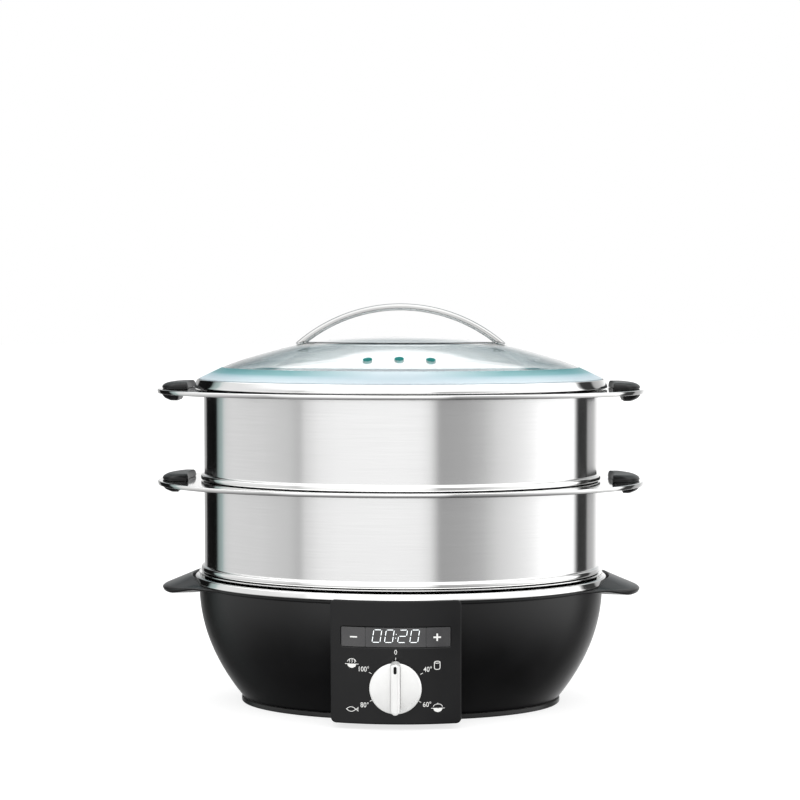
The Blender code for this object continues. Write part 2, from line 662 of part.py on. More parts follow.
def handle_loops():
    """Oval cross-sections along the arc, the end ones cut along the glass."""
    centre_z = HANDLE_TOP - HANDLE_HALF_HEIGHT - HANDLE_RADIUS
    sides, steps = 12, 16
    end = math.asin(HANDLE_FOOT_X / HANDLE_RADIUS)
    foot_z = glass_height(HANDLE_FOOT_X) + 1.4
    slope = math.tan(foot_slope())
    loops = []
    for step in range(steps + 1):
        t = -end + 2 * end * step / steps
        radial = Vector((math.sin(t), 0.0, math.cos(t)))
        along = Vector((math.cos(t), 0.0, -math.sin(t)))
        middle = Vector((0.0, 0.0, centre_z)) + HANDLE_RADIUS * radial
        loop = []
        for k in range(sides):
            u = 2 * math.pi * k / sides
            point = middle + HANDLE_HALF_HEIGHT * math.cos(u) * radial
            point.y += HANDLE_HALF_DEPTH * math.sin(u)
            if step in (0, steps):
                side = -1 if step == 0 else 1
                level = foot_z - slope * (side * point.x - HANDLE_FOOT_X)
                drop = (point.z - level) / (along.z + side * slope * along.x)
                point = point - drop * along
            loop.append(tuple(point))
        loops.append(loop)
    return loops


def foot_slope():
    """How steeply the glass falls where the handle stands on it."""
    run = 4.0
    fall = glass_height(HANDLE_FOOT_X - run) - glass_height(HANDLE_FOOT_X + run)
    return math.atan2(fall, 2 * run)


def handle_feet():
    feet = {}
    for label, side in (("left", -1), ("right", 1)):
        place = (side * HANDLE_FOOT_X, 0.0, glass_height(HANDLE_FOOT_X))
        feet[label] = add_empty(f"handle_foot_{label}", place, (0.0, side * foot_slope(), 0.0))
    return feet


def lid_handle(mats, feet):
    handle = add_object("lid_handle", skin(handle_loops(), False), mats["polished_steel"])
    for label, frame in feet.items():
        bore = turned(f"handle_bore_{label}", ((1.65, -2.0), (1.65, 3.4)), None, frame, sides=10)
        boolean(handle, bore)
        washer = ((1.75, 0.4), (5.0, 0.4), (5.0, 1.1), (1.75, 1.1))
        ring_washer(f"handle_washer_{label}", washer, mats["silicone"], frame)
        under = -GLASS_THICKNESS - 0.5
        inner = ((1.75, under - 1.1), (6.0, under - 1.1), (6.0, under - 0.2), (1.75, under - 0.2))
        ring_washer(f"handle_seal_{label}", inner, mats["silicone"], frame)
        head = under - 1.4
        screw = ((2.2, head - 2.2), (3.4, head - 1.6), (3.4, head), (1.35, head), (1.35, 3.1))
        turned(f"handle_screw_{label}", screw, mats["polished_steel"], frame, sides=8)


def ring_washer(name, profile, material, frame, sides=12):
    loops = []
    for radius, z in profile:
        angles = [2 * math.pi * i / sides for i in range(sides)]
        loops.append([(radius * math.cos(t), radius * math.sin(t), z) for t in angles])
    add_object(name, skin(loops, True), material, frame)


def lid(mats):
    feet = handle_feet()
    lid_glass(mats, feet)
    lid_rim(mats)
    lid_handle(mats, feet)


def set_back():
    """Puts everything that stands on its own under one frame, set back from the origin."""
    frame = add_empty("oval_axis", (0.0, SET_BACK, 0.0))
    for obj in list(bpy.context.scene.objects):
        if obj.parent is None and obj is not frame:
            obj.parent = frame


def main():
    clear_scene()
    mats = make_materials()
    base_shell(mats)
    base_plate(mats)
    feet_and_screws(mats)
    wing_collar(mats)
    water_tank(mats)
    tank_gasket(mats)
    heater(mats)
    cord_gland(mats)
    frame = control_panel(mats)
    display_strip(mats, frame)
    dial(mats, frame)
    juice_tray(mats)
    basket("lower", BASKET_BOTTOM, mats)
    basket("upper", BASKET_BOTTOM + BASKET_HEIGHT + STACK_GAP, mats)
    lid(mats)
    set_back()


main()
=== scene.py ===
"""The looks of the two-tier electric steamer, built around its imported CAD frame.

Lengths are in millimetres up to the mesh, and MM turns them into metres. Sizes and places are
worked out from the boxes of the CAD nodes; the small offsets from them are the named values here.
"""

import json
from math import asin, atan2, copysign, cos, hypot, pi, radians, sin, sqrt, tan

import bmesh
import bpy
from mathutils import Matrix, Vector


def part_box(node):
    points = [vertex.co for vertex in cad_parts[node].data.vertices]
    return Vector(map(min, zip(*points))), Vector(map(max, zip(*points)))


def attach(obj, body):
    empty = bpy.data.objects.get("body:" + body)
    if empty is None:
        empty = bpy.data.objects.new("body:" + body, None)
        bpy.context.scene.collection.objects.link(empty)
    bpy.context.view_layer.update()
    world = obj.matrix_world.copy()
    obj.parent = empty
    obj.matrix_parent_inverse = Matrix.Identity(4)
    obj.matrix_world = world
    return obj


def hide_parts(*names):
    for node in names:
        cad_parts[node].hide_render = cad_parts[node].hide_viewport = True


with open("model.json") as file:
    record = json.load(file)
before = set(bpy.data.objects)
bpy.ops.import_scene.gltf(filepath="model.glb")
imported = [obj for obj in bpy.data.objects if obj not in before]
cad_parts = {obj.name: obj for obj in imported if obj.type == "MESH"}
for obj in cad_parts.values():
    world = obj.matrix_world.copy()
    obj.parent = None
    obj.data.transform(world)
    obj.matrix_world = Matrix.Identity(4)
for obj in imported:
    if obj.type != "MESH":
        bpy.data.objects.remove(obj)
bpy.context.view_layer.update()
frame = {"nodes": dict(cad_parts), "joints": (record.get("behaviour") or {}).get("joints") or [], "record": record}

MM = 0.001
GAP = 0.3
RING_POINTS = 144  # points round each oval
END_CROWDING = 0.12  # draws those points towards the two ends, where the ovals curve most
SHARP_ANGLE, SOFT_ANGLE = 32, 50  # degrees from which an edge is shaded sharp
ROUND_STEPS = 4  # facets in each rounded corner
SIDES = (("left", -1), ("right", 1))


def node_box(node):
    """The lowest and highest corner of a CAD node, in millimetres."""
    low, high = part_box(node)
    return low / MM, high / MM


def half_width(node):
    low, high = node_box(node)
    return (high.x - low.x) / 2


def at(x, y, z):
    return Matrix.Translation((x, y, z))


def middle(node):
    low, high = node_box(node)
    return (low + high) / 2


LID_LOW, LID_HIGH = node_box("lid_rim")
AXIS_Y = (LID_LOW.y + LID_HIGH.y) / 2  # where the ovals' axis stands
AXIS_DIFFERENCE = (LID_HIGH.x - LID_LOW.x - LID_HIGH.y + LID_LOW.y) / 2  # half-width less half-depth

# The glass's skirt, in metres, and its painted tones from its edge up to the fold: painted light standing in for
# the light carried inside the glass
SKIRT_LOW, SKIRT_HIGH = 0.271, 0.2798
SKIRT_MIDDLE_PAINTED_GLOW = ((0, (0.68, 0.78, 0.84)), (0.4, (0.56, 0.69, 0.75)), (1, (0.6, 0.72, 0.77)))
SKIRT_SIDES_PAINTED_GLOW = (
    (0, (0.76, 0.86, 0.91)), (0.3, (0.62, 0.76, 0.82)), (0.5, (0.42, 0.63, 0.69)),
    (0.62, (0.2, 0.46, 0.49)), (1, (0.09, 0.34, 0.36)),
)
SKIRT_MIDDLE_END, SKIRT_SIDES_START = 0.015, 0.085  # either side of the centre

# ---- materials

NOISE_LOW, NOISE_HIGH = 0.3, 0.7  # the part of the noise that tones and values are spread over


class Nodes:
    """Helpers for building a node tree."""

    def __init__(self, tree):
        self.tree = tree

    def node(self, kind, **values):
        """A new node, with its inputs set by name."""
        node = self.tree.nodes.new(kind)
        for name, value in values.items():
            node.inputs[name].default_value = value
        return node

    def link(self, output, target):
        self.tree.links.new(output, target)

    def axes(self, space):
        """The x, y and z of a texture space."""
        split = self.node("ShaderNodeSeparateXYZ")
        self.link(self.node("ShaderNodeTexCoord").outputs[space], split.inputs["Vector"])
        return [split.outputs[axis] for axis in "XYZ"]

    def math(self, operation, first, second=None):
        """A math node on outputs or plain numbers."""
        node = self.node("ShaderNodeMath")
        node.operation = operation
        for socket, value in zip(node.inputs, (first, second)):
            if isinstance(value, (int, float)):
                socket.default_value = value
            elif value is not None:
                self.link(value, socket)
        return node.outputs["Value"]

    def share(self, value, low, high, soft=False, start=0, end=1):
        """Runs from start to end as a value goes from low to high."""
        fade = self.node("ShaderNodeMapRange", **{"From Min": low, "From Max": high,
                                                  "To Min": start, "To Max": end})
        fade.interpolation_type = "SMOOTHSTEP" if soft else "LINEAR"
        self.link(value, fade.inputs["Value"])
        return fade.outputs["Result"]

    def mix(self, factor, first, second):
        """Colours mixed by a factor; the second may be a plain colour."""
        mix = self.node("ShaderNodeMix")
        mix.data_type = "RGBA"
        self.link(factor, mix.inputs["Factor"])
        self.link(first, mix.inputs["A"])
        if isinstance(second, tuple):
            mix.inputs["B"].default_value = second
        else:
            self.link(second, mix.inputs["B"])
        return mix.outputs["Result"]

    def blend(self, fac, stops):
        """A colour that follows a factor through (place, colour) stops."""
        node = self.node("ShaderNodeValToRGB")
        elements = node.color_ramp.elements
        for index, (where, colour) in enumerate(stops):
            stop = elements[index] if index < 2 else elements.new(where)
            stop.position, stop.color = where, (*colour, 1)
        self.link(fac, node.inputs["Fac"])
        return node.outputs["Color"]


class Paint(Nodes):
    """A material on a Principled shader, with helpers for its procedural detail."""

    def __init__(self, name, colour, roughness, metallic=0, **sockets):
        self.material = bpy.data.materials.new(name)
        self.material.use_nodes = True
        super().__init__(self.material.node_tree)
        self.shader = self.tree.nodes["Principled BSDF"]
        sockets.update({"Base Color": (*colour, 1), "Roughness": roughness, "Metallic": metallic})
        for socket, value in sockets.items():
            self.shader.inputs[socket.replace("_", " ")].default_value = value

    def noise(self, scale, stretch=(1, 1, 1), detail=3):
        """Noise in the object's own space, in cycles per metre, stretched along its axes."""
        mapping = self.node("ShaderNodeMapping", Scale=stretch)
        texture = self.node("ShaderNodeTexNoise", Scale=scale, Detail=detail)
        self.link(self.node("ShaderNodeTexCoord").outputs["Object"], mapping.inputs["Vector"])
        self.link(mapping.outputs["Vector"], texture.inputs["Vector"])
        return texture.outputs["Fac"]

    def vary(self, socket, fac, low, high):
        """A socket that wanders between two values."""
        self.link(self.share(fac, NOISE_LOW, NOISE_HIGH, False, low, high), self.shader.inputs[socket])

    def colour(self, output):
        self.link(output, self.shader.inputs["Base Color"])

    def tone(self, fac, dark, light):
        """Colour that wanders between two tones."""
        self.colour(self.blend(fac, ((NOISE_LOW, dark), (NOISE_HIGH, light))))

    def bump(self, fac, strength, distance):
        bump = self.node("ShaderNodeBump", Strength=strength, Distance=distance)
        self.link(fac, bump.inputs["Height"])
        self.link(bump.outputs["Normal"], self.shader.inputs["Normal"])


def brushed_steel():
    """Satin sheet whose grain runs round the vessel and smears reflections upright."""
    dark, light = (0.735,) * 3, (0.78,) * 3
    paint = Paint("satin_steel", light, 0.165, 1, Anisotropic=1, Anisotropic_Rotation=0.25)
    grain = paint.noise(1, (22, 22, 3600))
    paint.tone(grain, dark, light)
    paint.vary("Roughness", paint.noise(14, (1, 1, 0.25)), 0.155, 0.178)
    paint.bump(grain, 0.02, 0.00005)
    tangent = paint.node("ShaderNodeTangent")
    tangent.direction_type, tangent.axis = "RADIAL", "Z"
    paint.link(tangent.outputs["Tangent"], paint.shader.inputs["Tangent"])
    return paint.material


def surface(name, colour, rough, tones, cloud, spread=None, grain=None, metallic=0, **sockets):
    """A material whose colour wanders between two tones.

    The cloud is a noise's (scale, detail), which also spreads the roughness between two values. The
    grain is a raised noise: (scale, detail, strength, distance, any stretch)."""
    paint = Paint(name, colour, rough, metallic, **sockets)
    wander = paint.noise(cloud[0], detail=cloud[1])
    paint.tone(wander, *tones)
    if spread:
        paint.vary("Roughness", wander, *spread)
    if grain:
        scale, detail, strength, distance, *stretch = grain
        paint.bump(paint.noise(scale, *stretch, detail=detail), strength, distance)
    return paint.material


def polished_steel(name="polished_sheet", light=0.9):
    high, low = (light, light, light - 0.005), (light - 0.05, light - 0.05, light - 0.055)
    return surface(name, high, 0.07, (low, high), (26, 5), (0.05, 0.11),
                   (1, 3, 0.02, 0.00005, (40, 40, 2200)), 1)


def moulded_plastic(name, dark, light, rough, grain_size, grain_depth, specular, sheen=0):
    """Dark moulded plastic with a spark-eroded grain; grain_size is in metres."""
    return surface(name, light, rough, (dark, light), (34, 5), (rough - 0.04, rough + 0.05),
                   (1 / grain_size, 2, grain_depth, 0.00008), Specular_IOR_Level=specular,
                   Sheen_Weight=sheen, Sheen_Roughness=0.3)


def satin_glass_painted_glow():
    """The glass's turned-down skirt, with painted light: the light carried inside the glass is painted teal under
    the fold and pale at its edge.
    """
    paint = Paint("lid_glass_satin_skirt_painted_glow", (0.84, 0.93, 0.96), 0.34, Transmission_Weight=0.42, IOR=1.45)
    x, _, z = paint.axes("Object")
    # painted glow: tones run with height up the skirt, teal towards the sides and paler in the middle
    height = paint.share(z, SKIRT_LOW, SKIRT_HIGH)
    side = paint.share(paint.math("ABSOLUTE", x), SKIRT_MIDDLE_END, SKIRT_SIDES_START)
    paint.colour(paint.mix(side, paint.blend(height, SKIRT_MIDDLE_PAINTED_GLOW), paint.blend(height, SKIRT_SIDES_PAINTED_GLOW)))
    paint.vary("Roughness", paint.noise(30, (1, 1, 4)), 0.3, 0.38)
    return paint.material


def plain_part(name, dark, light, rough, metallic, grain=700, depth=0.06):
    """Inner and small parts: a cast, moulded or rolled surface."""
    paint = Paint(name, light, rough, metallic)
    paint.tone(paint.noise(grain / 12, detail=5), dark, light)
    paint.vary("Roughness", paint.noise(grain / 6), rough - 0.06, rough + 0.08)
    paint.bump(paint.noise(grain), depth, 0.0001)
    return paint.material


LOOKS = {
    "black_plastic": moulded_plastic(
        "bowl_black", (0.0012, 0.0012, 0.0014), (0.0022, 0.0022, 0.0026), 0.33, 0.0005, 0.06, 0.5, 0.15),
    "panel_plastic": moulded_plastic(
        "panel_black", (0.0065, 0.0065, 0.007), (0.009, 0.009, 0.0095), 0.32, 0.0004, 0.05, 0.3),
    "grip_plastic": moulded_plastic(
        "grip_black", (0.003, 0.003, 0.0033), (0.0055, 0.0055, 0.006), 0.38, 0.0004, 0.05, 0.22),
    "smoked_lens": surface(
        "smoked_lens_gloss", (0.045, 0.045, 0.047), 0.1, ((0.034, 0.034, 0.036), (0.052, 0.051, 0.052)),
        (45, 3), (0.08, 0.14), (120, 1, 0.02, 0.0002), Coat_Weight=0.4, Coat_Roughness=0.03),
    "brushed_steel": brushed_steel(),
    "polished_steel": polished_steel(),
    # Clear toughened glass, with the faintest tint and the slight ripple of a pressed sheet
    "glass": surface(
        "lid_glass_clear", (0.95, 0.98, 0.985), 0, ((0.945, 0.977, 0.982), (0.96, 0.985, 0.99)),
        (9, 3), None, (18, 1, 0.01, 0.001), Transmission_Weight=1, IOR=1.5),
    "dial_silver": surface(
        "dial_silver_satin", (0.86, 0.86, 0.85), 0.3, ((0.8, 0.8, 0.79), (0.88, 0.88, 0.87)),
        (60, 4), (0.24, 0.36), (3000, 2, 0.03, 0.00005), 0.25, Coat_Weight=0.3, Coat_Roughness=0.15),
    "silicone": plain_part("pale_silicone", (0.5, 0.52, 0.52), (0.6, 0.62, 0.62), 0.5, 0),
    "rubber": plain_part("black_rubber", (0.015, 0.015, 0.015), (0.03, 0.03, 0.03), 0.7, 0, 1500, 0.15),
    "aluminium": plain_part("cast_aluminium", (0.55, 0.55, 0.56), (0.7, 0.7, 0.71), 0.4, 1),
    "circuit_board": plain_part("green_board", (0.01, 0.12, 0.04), (0.03, 0.2, 0.07), 0.4, 0),
    "dark_parts": plain_part("dark_moulding", (0.02, 0.02, 0.02), (0.045, 0.045, 0.045), 0.45, 0),
}
SKIRT_GLASS_PAINTED_GLOW = satin_glass_painted_glow()
# The ground edge of the glass, painted teal: a painted glow for the light that runs inside the glass and comes out
# there
GROUND_EDGE_PAINTED_GLOW = surface(
    "lid_glass_ground_edge_painted_glow", (0.02, 0.42, 0.4), 0.45, ((0.01, 0.36, 0.34), (0.04, 0.5, 0.47)),
    (900, 3), None, (900, 3, 0.2, 0.0001), Transmission_Weight=0.35)
WHITE_PRINT = surface(
    "white_print", (0.82, 0.82, 0.8), 0.55, ((0.74, 0.74, 0.72), (0.86, 0.86, 0.84)), (4000, 3))
DISPLAY_LIGHT = surface(
    "display_light", (0.85, 0.88, 0.88), 0.4, ((0.78, 0.82, 0.82), (0.9, 0.93, 0.93)), (900, 3),
    Emission_Color=(0.9, 0.97, 1, 1), Emission_Strength=0.6)
# The handle's polished steel, made darker than the rim's: painted shade
HANDLE_STEEL_PAINTED_SHADE = polished_steel("handle_steel_painted_shade", 0.54)


def dress_cad_nodes():
    """Each CAD node that stays in sight wears the look of its material slot."""
    for part in frame["record"]["subparts"]:
        obj = frame["nodes"][part["node"]]
        obj.data.materials.clear()
        obj.data.materials.append(LOOKS[part["material_slot"]])


# ---- mesh helpers


def oval(a, z, b=None):
    """A closed oval loop of half-width a at this height, about the ovals' axis."""
    b = a - AXIS_DIFFERENCE if b is None else b
    loop = []
    for i in range(RING_POINTS):
        t = 2 * pi * i / RING_POINTS
        t -= END_CROWDING * sin(2 * t)
        loop.append(Vector((a * cos(t), AXIS_Y + b * sin(t), z)))
    return loop


def circle(radius, z, sides):
    angles = [2 * pi * i / sides for i in range(sides)]
    return [Vector((radius * cos(t), radius * sin(t), z)) for t in angles]


def soften(loops, reaches, wrap, steps=ROUND_STEPS):
    """Rounds the corners along a row of loops, each over its reach along both sides."""
    softened = []
    for k, (loop, reach) in enumerate(zip(loops, reaches)):
        if not reach or (not wrap and k in (0, len(loops) - 1)):
            softened.append(loop)
            continue
        before, after = loops[k - 1], loops[(k + 1) % len(loops)]
        for step in range(steps + 1):
            t = step / steps
            ring = []
            for p, q, r in zip(before, loop, after):
                start = q + (p - q) * min(0.48, reach / (p - q).length)
                end = q + (r - q) * min(0.48, reach / (r - q).length)
                ring.append((1 - t) ** 2 * start + 2 * t * (1 - t) * q + t * t * end)
            softened.append(ring)
    return softened


def skin(loops, wrap, bm=None, mirrored=False):
    """A bmesh over a row of closed loops, wrapped back to the first or capped at both ends.

    A mirrored loop runs along its low side and back along its high side, and its caps are strips
    across from side to side, which keep a curved face smooth."""
    bm = bm or bmesh.new()
    rings = [[bm.verts.new(point) for point in loop] for loop in loops]
    for lower, upper in zip(rings, rings[1:] + (rings[:1] if wrap else [])):
        for i in range(len(lower)):
            j = (i + 1) % len(lower)
            bm.faces.new((lower[i], lower[j], upper[j], upper[i]))
    if not wrap:
        for ring in (rings[0], rings[-1]):
            if mirrored:
                n = len(ring)
                for i in range(n // 2 - 1):
                    bm.faces.new((ring[i], ring[i + 1], ring[n - 2 - i], ring[n - 1 - i]))
            else:
                bm.faces.new(ring)
    return bm


def soft_skin(rows, wrap, steps=ROUND_STEPS, mirrored=False):
    """A skin over (loop, rounding) rows, with its corners rounded."""
    loops, reaches = zip(*rows)
    return skin(soften(loops, reaches, wrap, steps), wrap, mirrored=mirrored)


def mesh_object(name, bm, matrix=None, smooth_angle=SHARP_ANGLE):
    """A smooth-shaded object in metres from a bmesh in millimetres."""
    if matrix is not None:
        bmesh.ops.transform(bm, matrix=matrix, verts=bm.verts)
    bmesh.ops.transform(bm, matrix=Matrix.Scale(MM, 4), verts=bm.verts)
    bmesh.ops.recalc_face_normals(bm, faces=bm.faces)
    mesh = bpy.data.meshes.new(name)
    bm.to_mesh(mesh)
    bm.free()
    obj = bpy.data.objects.new(name, mesh)
    bpy.context.scene.collection.objects.link(obj)
    smooth(obj, smooth_angle)
    return obj


def smooth(obj, angle=SHARP_ANGLE):
    obj.data.shade_smooth()
    obj.data.set_sharp_from_angle(angle=radians(angle))


def final_mesh(obj):
    """A new mesh of the object with its modifiers applied."""
    return bpy.data.meshes.new_from_object(obj.evaluated_get(bpy.context.evaluated_depsgraph_get()))


def cut(obj, tool, operation="DIFFERENCE", angle=SHARP_ANGLE):
    """Cuts obj by the tool, or joins them, applies the result and removes the tool."""
    modifier = obj.modifiers.new("cut", "BOOLEAN")
    modifier.operation, modifier.solver, modifier.object = operation, "EXACT", tool
    mesh = final_mesh(obj)
    obj.modifiers.clear()
    obj.data = mesh
    bpy.data.objects.remove(tool)
    smooth(obj, angle)


def place(obj, body, slot, *nodes, material=None):
    """Gives a finished piece its material and body, and hides the CAD nodes it stands for.

    Its large faces set the shading at their edges, so that flats stay flat next to rounds."""
    if not obj.data.materials:
        obj.data.materials.append(material or LOOKS[slot])
    modifier = obj.modifiers.new("even_shading", "WEIGHTED_NORMAL")
    modifier.keep_sharp, modifier.weight = True, 90
    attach(obj, body)
    if nodes:
        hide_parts(*nodes)


def oval_ring(name, profile, wrap=True):
    """A ring round the ovals' axis from (half-width, height, any rounding) corners."""
    return mesh_object(name, soft_skin([(oval(a, z), sum(soft)) for a, z, *soft in profile], wrap))


def turned(name, profile, matrix=None, sides=48, wrap=False):
    """A solid turned about the local z axis from (radius, height, any rounding) corners."""
    rows = [(circle(radius, z, sides), sum(soft)) for radius, z, *soft in profile]
    return mesh_object(name, soft_skin(rows, wrap), matrix)


def bore(obj, radius, low, high, matrix, sides=48):
    """Drills a straight hole through obj, along the matrix's z from low to high."""
    cut(obj, turned("bore", ((radius, low), (radius, high)), matrix, sides))


def box(name, matrix):
    """The unit cube, carried by the matrix."""
    bm = bmesh.new()
    bmesh.ops.create_cube(bm, size=1, matrix=matrix)
    return mesh_object(name, bm)


# ---- base

SHELL_LOW, SHELL_HIGH = node_box("base_shell")
SHELL_RISE = SHELL_HIGH.z - SHELL_LOW.z
SHELL_TOP_A = half_width("base_shell")
SHELL_FOOT_A = half_width("base_plate") - 1.4
SHELL_WALL = 2.6
SHELL_FULLNESS = 2.1  # how soon the bowl's side reaches its full width
COLLAR_LOW, COLLAR_HIGH = node_box("wing_collar")
WING_HALF_DEPTH, WING_POWER = 62, 0.8
TANK_LIP_A = half_width("water_tank")
COLLAR_A = TANK_LIP_A - 3.6
TANK_TOP = node_box("water_tank")[1].z


def bowl_half_width(z):
    share = (z - SHELL_LOW.z) / SHELL_RISE
    return SHELL_TOP_A - (SHELL_TOP_A - SHELL_FOOT_A) * (1 - share) ** SHELL_FULLNESS


def bowl_side(inset=0):
    """(half-width, height) corners up the bowl's side."""
    heights = [SHELL_LOW.z + SHELL_RISE * i / 26 for i in range(27)]
    return [(bowl_half_width(z) - inset, z) for z in heights]


def base_shell():
    shell = oval_ring("fine_base_shell", bowl_side() + bowl_side(SHELL_WALL)[::-1])
    low, high = node_box("control_housing")
    size = Matrix.Diagonal(((high.x - low.x) * 0.84, 80, 74, 1))
    cut(shell, box("shell_opening", at(0, low.y + 40, 55) @ size))
    place(shell, "base", "black_plastic", "base_shell")


def over(node, z=0):
    """The frame at height z on the upright line through a node's middle."""
    point = middle(node)
    return at(point.x, point.y, z)


def base_plate():
    low, high = node_box("base_plate")
    edge = half_width("base_plate")
    profile = (
        (edge - 0.8, low.z), (edge, low.z + 0.6, 0.5), (edge, high.z, 0.5), (edge - 5, high.z),
    )
    plate = oval_ring("fine_base_plate", profile, wrap=False)
    for corner in ("front_left", "front_right", "back_left", "back_right"):
        foot = f"foot_{corner}"
        radius, top = half_width(foot), node_box(foot)[1].z
        spot = over(foot)
        bore(plate, radius + 0.4, -1, top + GAP, spot)
        pad = ((radius - 1, 0), (radius, 0.8, 0.5), (radius, top, 0.3), (1, top))
        place(turned(f"fine_{foot}", pad, spot), "base", "rubber", foot)
        node = f"base_screw_{corner}"
        sink = ((3.3, -1), (3.3, 2.6), (1.9, 2.6), (1.9, 8))
        cut(plate, turned("countersink", sink, over(node), sides=24))
        low, high = node_box(node)
        screw(node, over(node, low.z), 3, 1.4, high.z - low.z, "base")
    place(plate, "base", "black_plastic", "base_plate")


def screw(node, matrix, head_radius, head_height, length, body):
    """A cross-recessed screw: its head faces down the matrix's z, which runs up its shank."""
    shank = head_radius * 0.5
    profile = (
        (head_radius * 0.78, 0, 0.3), (head_radius, head_height * 0.35, 0.3),
        (head_radius, head_height, 0.2), (shank, head_height), (shank, length - 1.6, 0.3),
        (0.3, length),
    )
    made = turned(f"fine_{node}", profile, matrix, sides=24)
    size = Matrix.Diagonal((head_radius * 1.2, 0.55, 1, 1))
    for turn in (0, pi / 2):
        spin = Matrix.Rotation(turn, 4, "Z") @ at(0, 0, 0.1)
        cut(made, box("screw_slot", matrix @ spin @ size))
    place(made, body, "polished_steel", node)


def ramp(value, low, high):
    return min(1, max(0, (value - low) / (high - low)))


def winged_oval(a, z, root=0, reach=0, rise=0):
    """An oval loop whose two ends move out and up: past the tank's lip by root, then by reach."""
    loop = []
    for point in oval(a, z):
        share = max(0, 1 - ((point.y - AXIS_Y) / WING_HALF_DEPTH) ** 2) ** WING_POWER
        out = root * ramp(share, 0, 0.3) + reach * share
        lift = rise * ramp(share, 0.5, 0.85)
        loop.append(point + Vector((copysign(out, point.x), 0, lift)))
    return loop


def wing_collar():
    """The moulded ring that carries the tank, with a wing at each end to lift the base by."""
    low, high = COLLAR_LOW.z + 4, COLLAR_HIGH.z - 4.4
    edge, inner = COLLAR_A, TANK_LIP_A - 9.6
    spigot = SHELL_TOP_A - SHELL_WALL - 2 * GAP
    rows = (
        (oval(inner, high), 0),
        (winged_oval(edge - 3, high), 0.2),
        (winged_oval(edge - 2.4, high - 1.9, root=6.8), 0.3),
        (winged_oval(edge - 0.3, high - 2, root=5, rise=6.4), 1.2),
        (winged_oval(edge - 0.1, high - 2.2, reach=28.4, rise=-2.8), 1.6),
        (winged_oval(edge, high - 2.9, reach=30.4, rise=-3.9), 1),
        (winged_oval(edge - 0.3, low + 0.3, reach=29.2, rise=-5.6), 1),
        (winged_oval(edge - 0.6, low, reach=3.6, rise=-4.6), 2),
        (oval(edge - 0.8, low), 0),
        (oval(spigot, low), 0),
        (oval(spigot, low - 4), 0.5),
        (oval(inner, low - 4), 0.5),
    )
    collar = mesh_object("fine_wing_collar", soft_skin(rows, True), smooth_angle=SOFT_ANGLE)
    place(collar, "base", "black_plastic", "wing_collar")


def water_tank():
    """A deep-drawn tank with a broad lip, from under its floor round to the top of it."""
    lip, top = TANK_LIP_A, TANK_TOP
    wall, floor = lip - 10.1, node_box("water_tank")[0].z
    profile = (
        (wall - 28, floor), (wall - 20, floor + 8, 3), (wall - 14, top - 20.8, 3),
        (wall, top - 14.8, 3), (wall, top - 1, 0.6), (lip - 3.4, top - 2.9, 0.6),
        (lip - 1.9, top - 7.2), (lip - 0.6, top - 7.2, 0.3), (lip, top - 6.3, 0.6),
        (lip - 1.7, top - 2.2, 0.6), (lip - 2.8, top - 1.7, 0.5), (wall - 0.8, top, 0.6),
        (wall - 0.8, top - 14.3, 3), (wall - 14.7, top - 20.2, 3), (wall - 20.8, floor + 8.2, 3),
        (wall - 28.4, floor + 0.8),
    )
    place(oval_ring("fine_water_tank", profile, wrap=False), "base", "polished_steel", "water_tank")


def cord_gland():
    """The ribbed bush in the back wall that a mains lead would come out of."""
    height, slope = 30, radians(28)
    back = AXIS_Y + bowl_half_width(height) - AXIS_DIFFERENCE
    matrix = at(0, back, height) @ Matrix.Rotation(-(pi / 2 + slope), 4, "X")
    profile = [(6.5, -6, 0.4), (6.6, 0.6), (9.5, 0.6, 0.4), (9.5, 2.4, 0.6)]
    for rib in range(4):
        radius, z = 6.9 - 0.15 * rib, 3 + rib * 1.5
        profile += [(radius, z, 0.2), (radius - 0.7, z + 0.4, 0.2), (radius - 0.7, z + 0.8, 0.2)]
    profile += [(6, 9, 0.4), (3.8, 9, 0.4), (3.8, -4, 0.3)]
    gland = turned("fine_cord_gland", profile, matrix)
    bore(bpy.data.objects["fine_base_shell"], 7, -8, 8, matrix)
    place(gland, "base", "rubber", "cord_gland")


# ---- control panel
# Panel space: x right, y up the face, z out of it, and its origin where the dial's axis meets the face.

DIAL_JOINT = next(joint for joint in frame["joints"] if joint["name"] == "dial_turn")
PANEL_OUT = -Vector(DIAL_JOINT["axis"])
PANEL_UP = PANEL_OUT.cross(Vector((1, 0, 0)))
DIAL_POINT = Vector(DIAL_JOINT["pos_m"]) / MM
PANEL = Matrix.Translation(DIAL_POINT) @ Matrix(
    ((1, 0, 0), PANEL_UP, PANEL_OUT)).transposed().to_4x4()
PANEL_HALF_WIDTH = half_width("control_housing")
PANEL_BOTTOM = (node_box("control_housing")[0].z - DIAL_POINT.z) / PANEL_UP.z
PANEL_TOP = (node_box("control_housing")[1].z - DIAL_POINT.z) / PANEL_UP.z - 0.3
PANEL_RADIUS, PANEL_DEPTH, PANEL_WALL = 230, 45, 2.8
STRIP_Y, STRIP_HALF_HEIGHT, STRIP_HALF_WIDTH = 38.9, 8.1, 42.9
WINDOW_HALF_WIDTH = half_width("display_window")
PRINT_THICKNESS = 0.06
DIAL_RADIUS = half_width("dial_knob")


def face_z(x):
    """The panel's face curves gently back towards its sides."""
    return -(PANEL_RADIUS - sqrt(PANEL_RADIUS**2 - x**2))


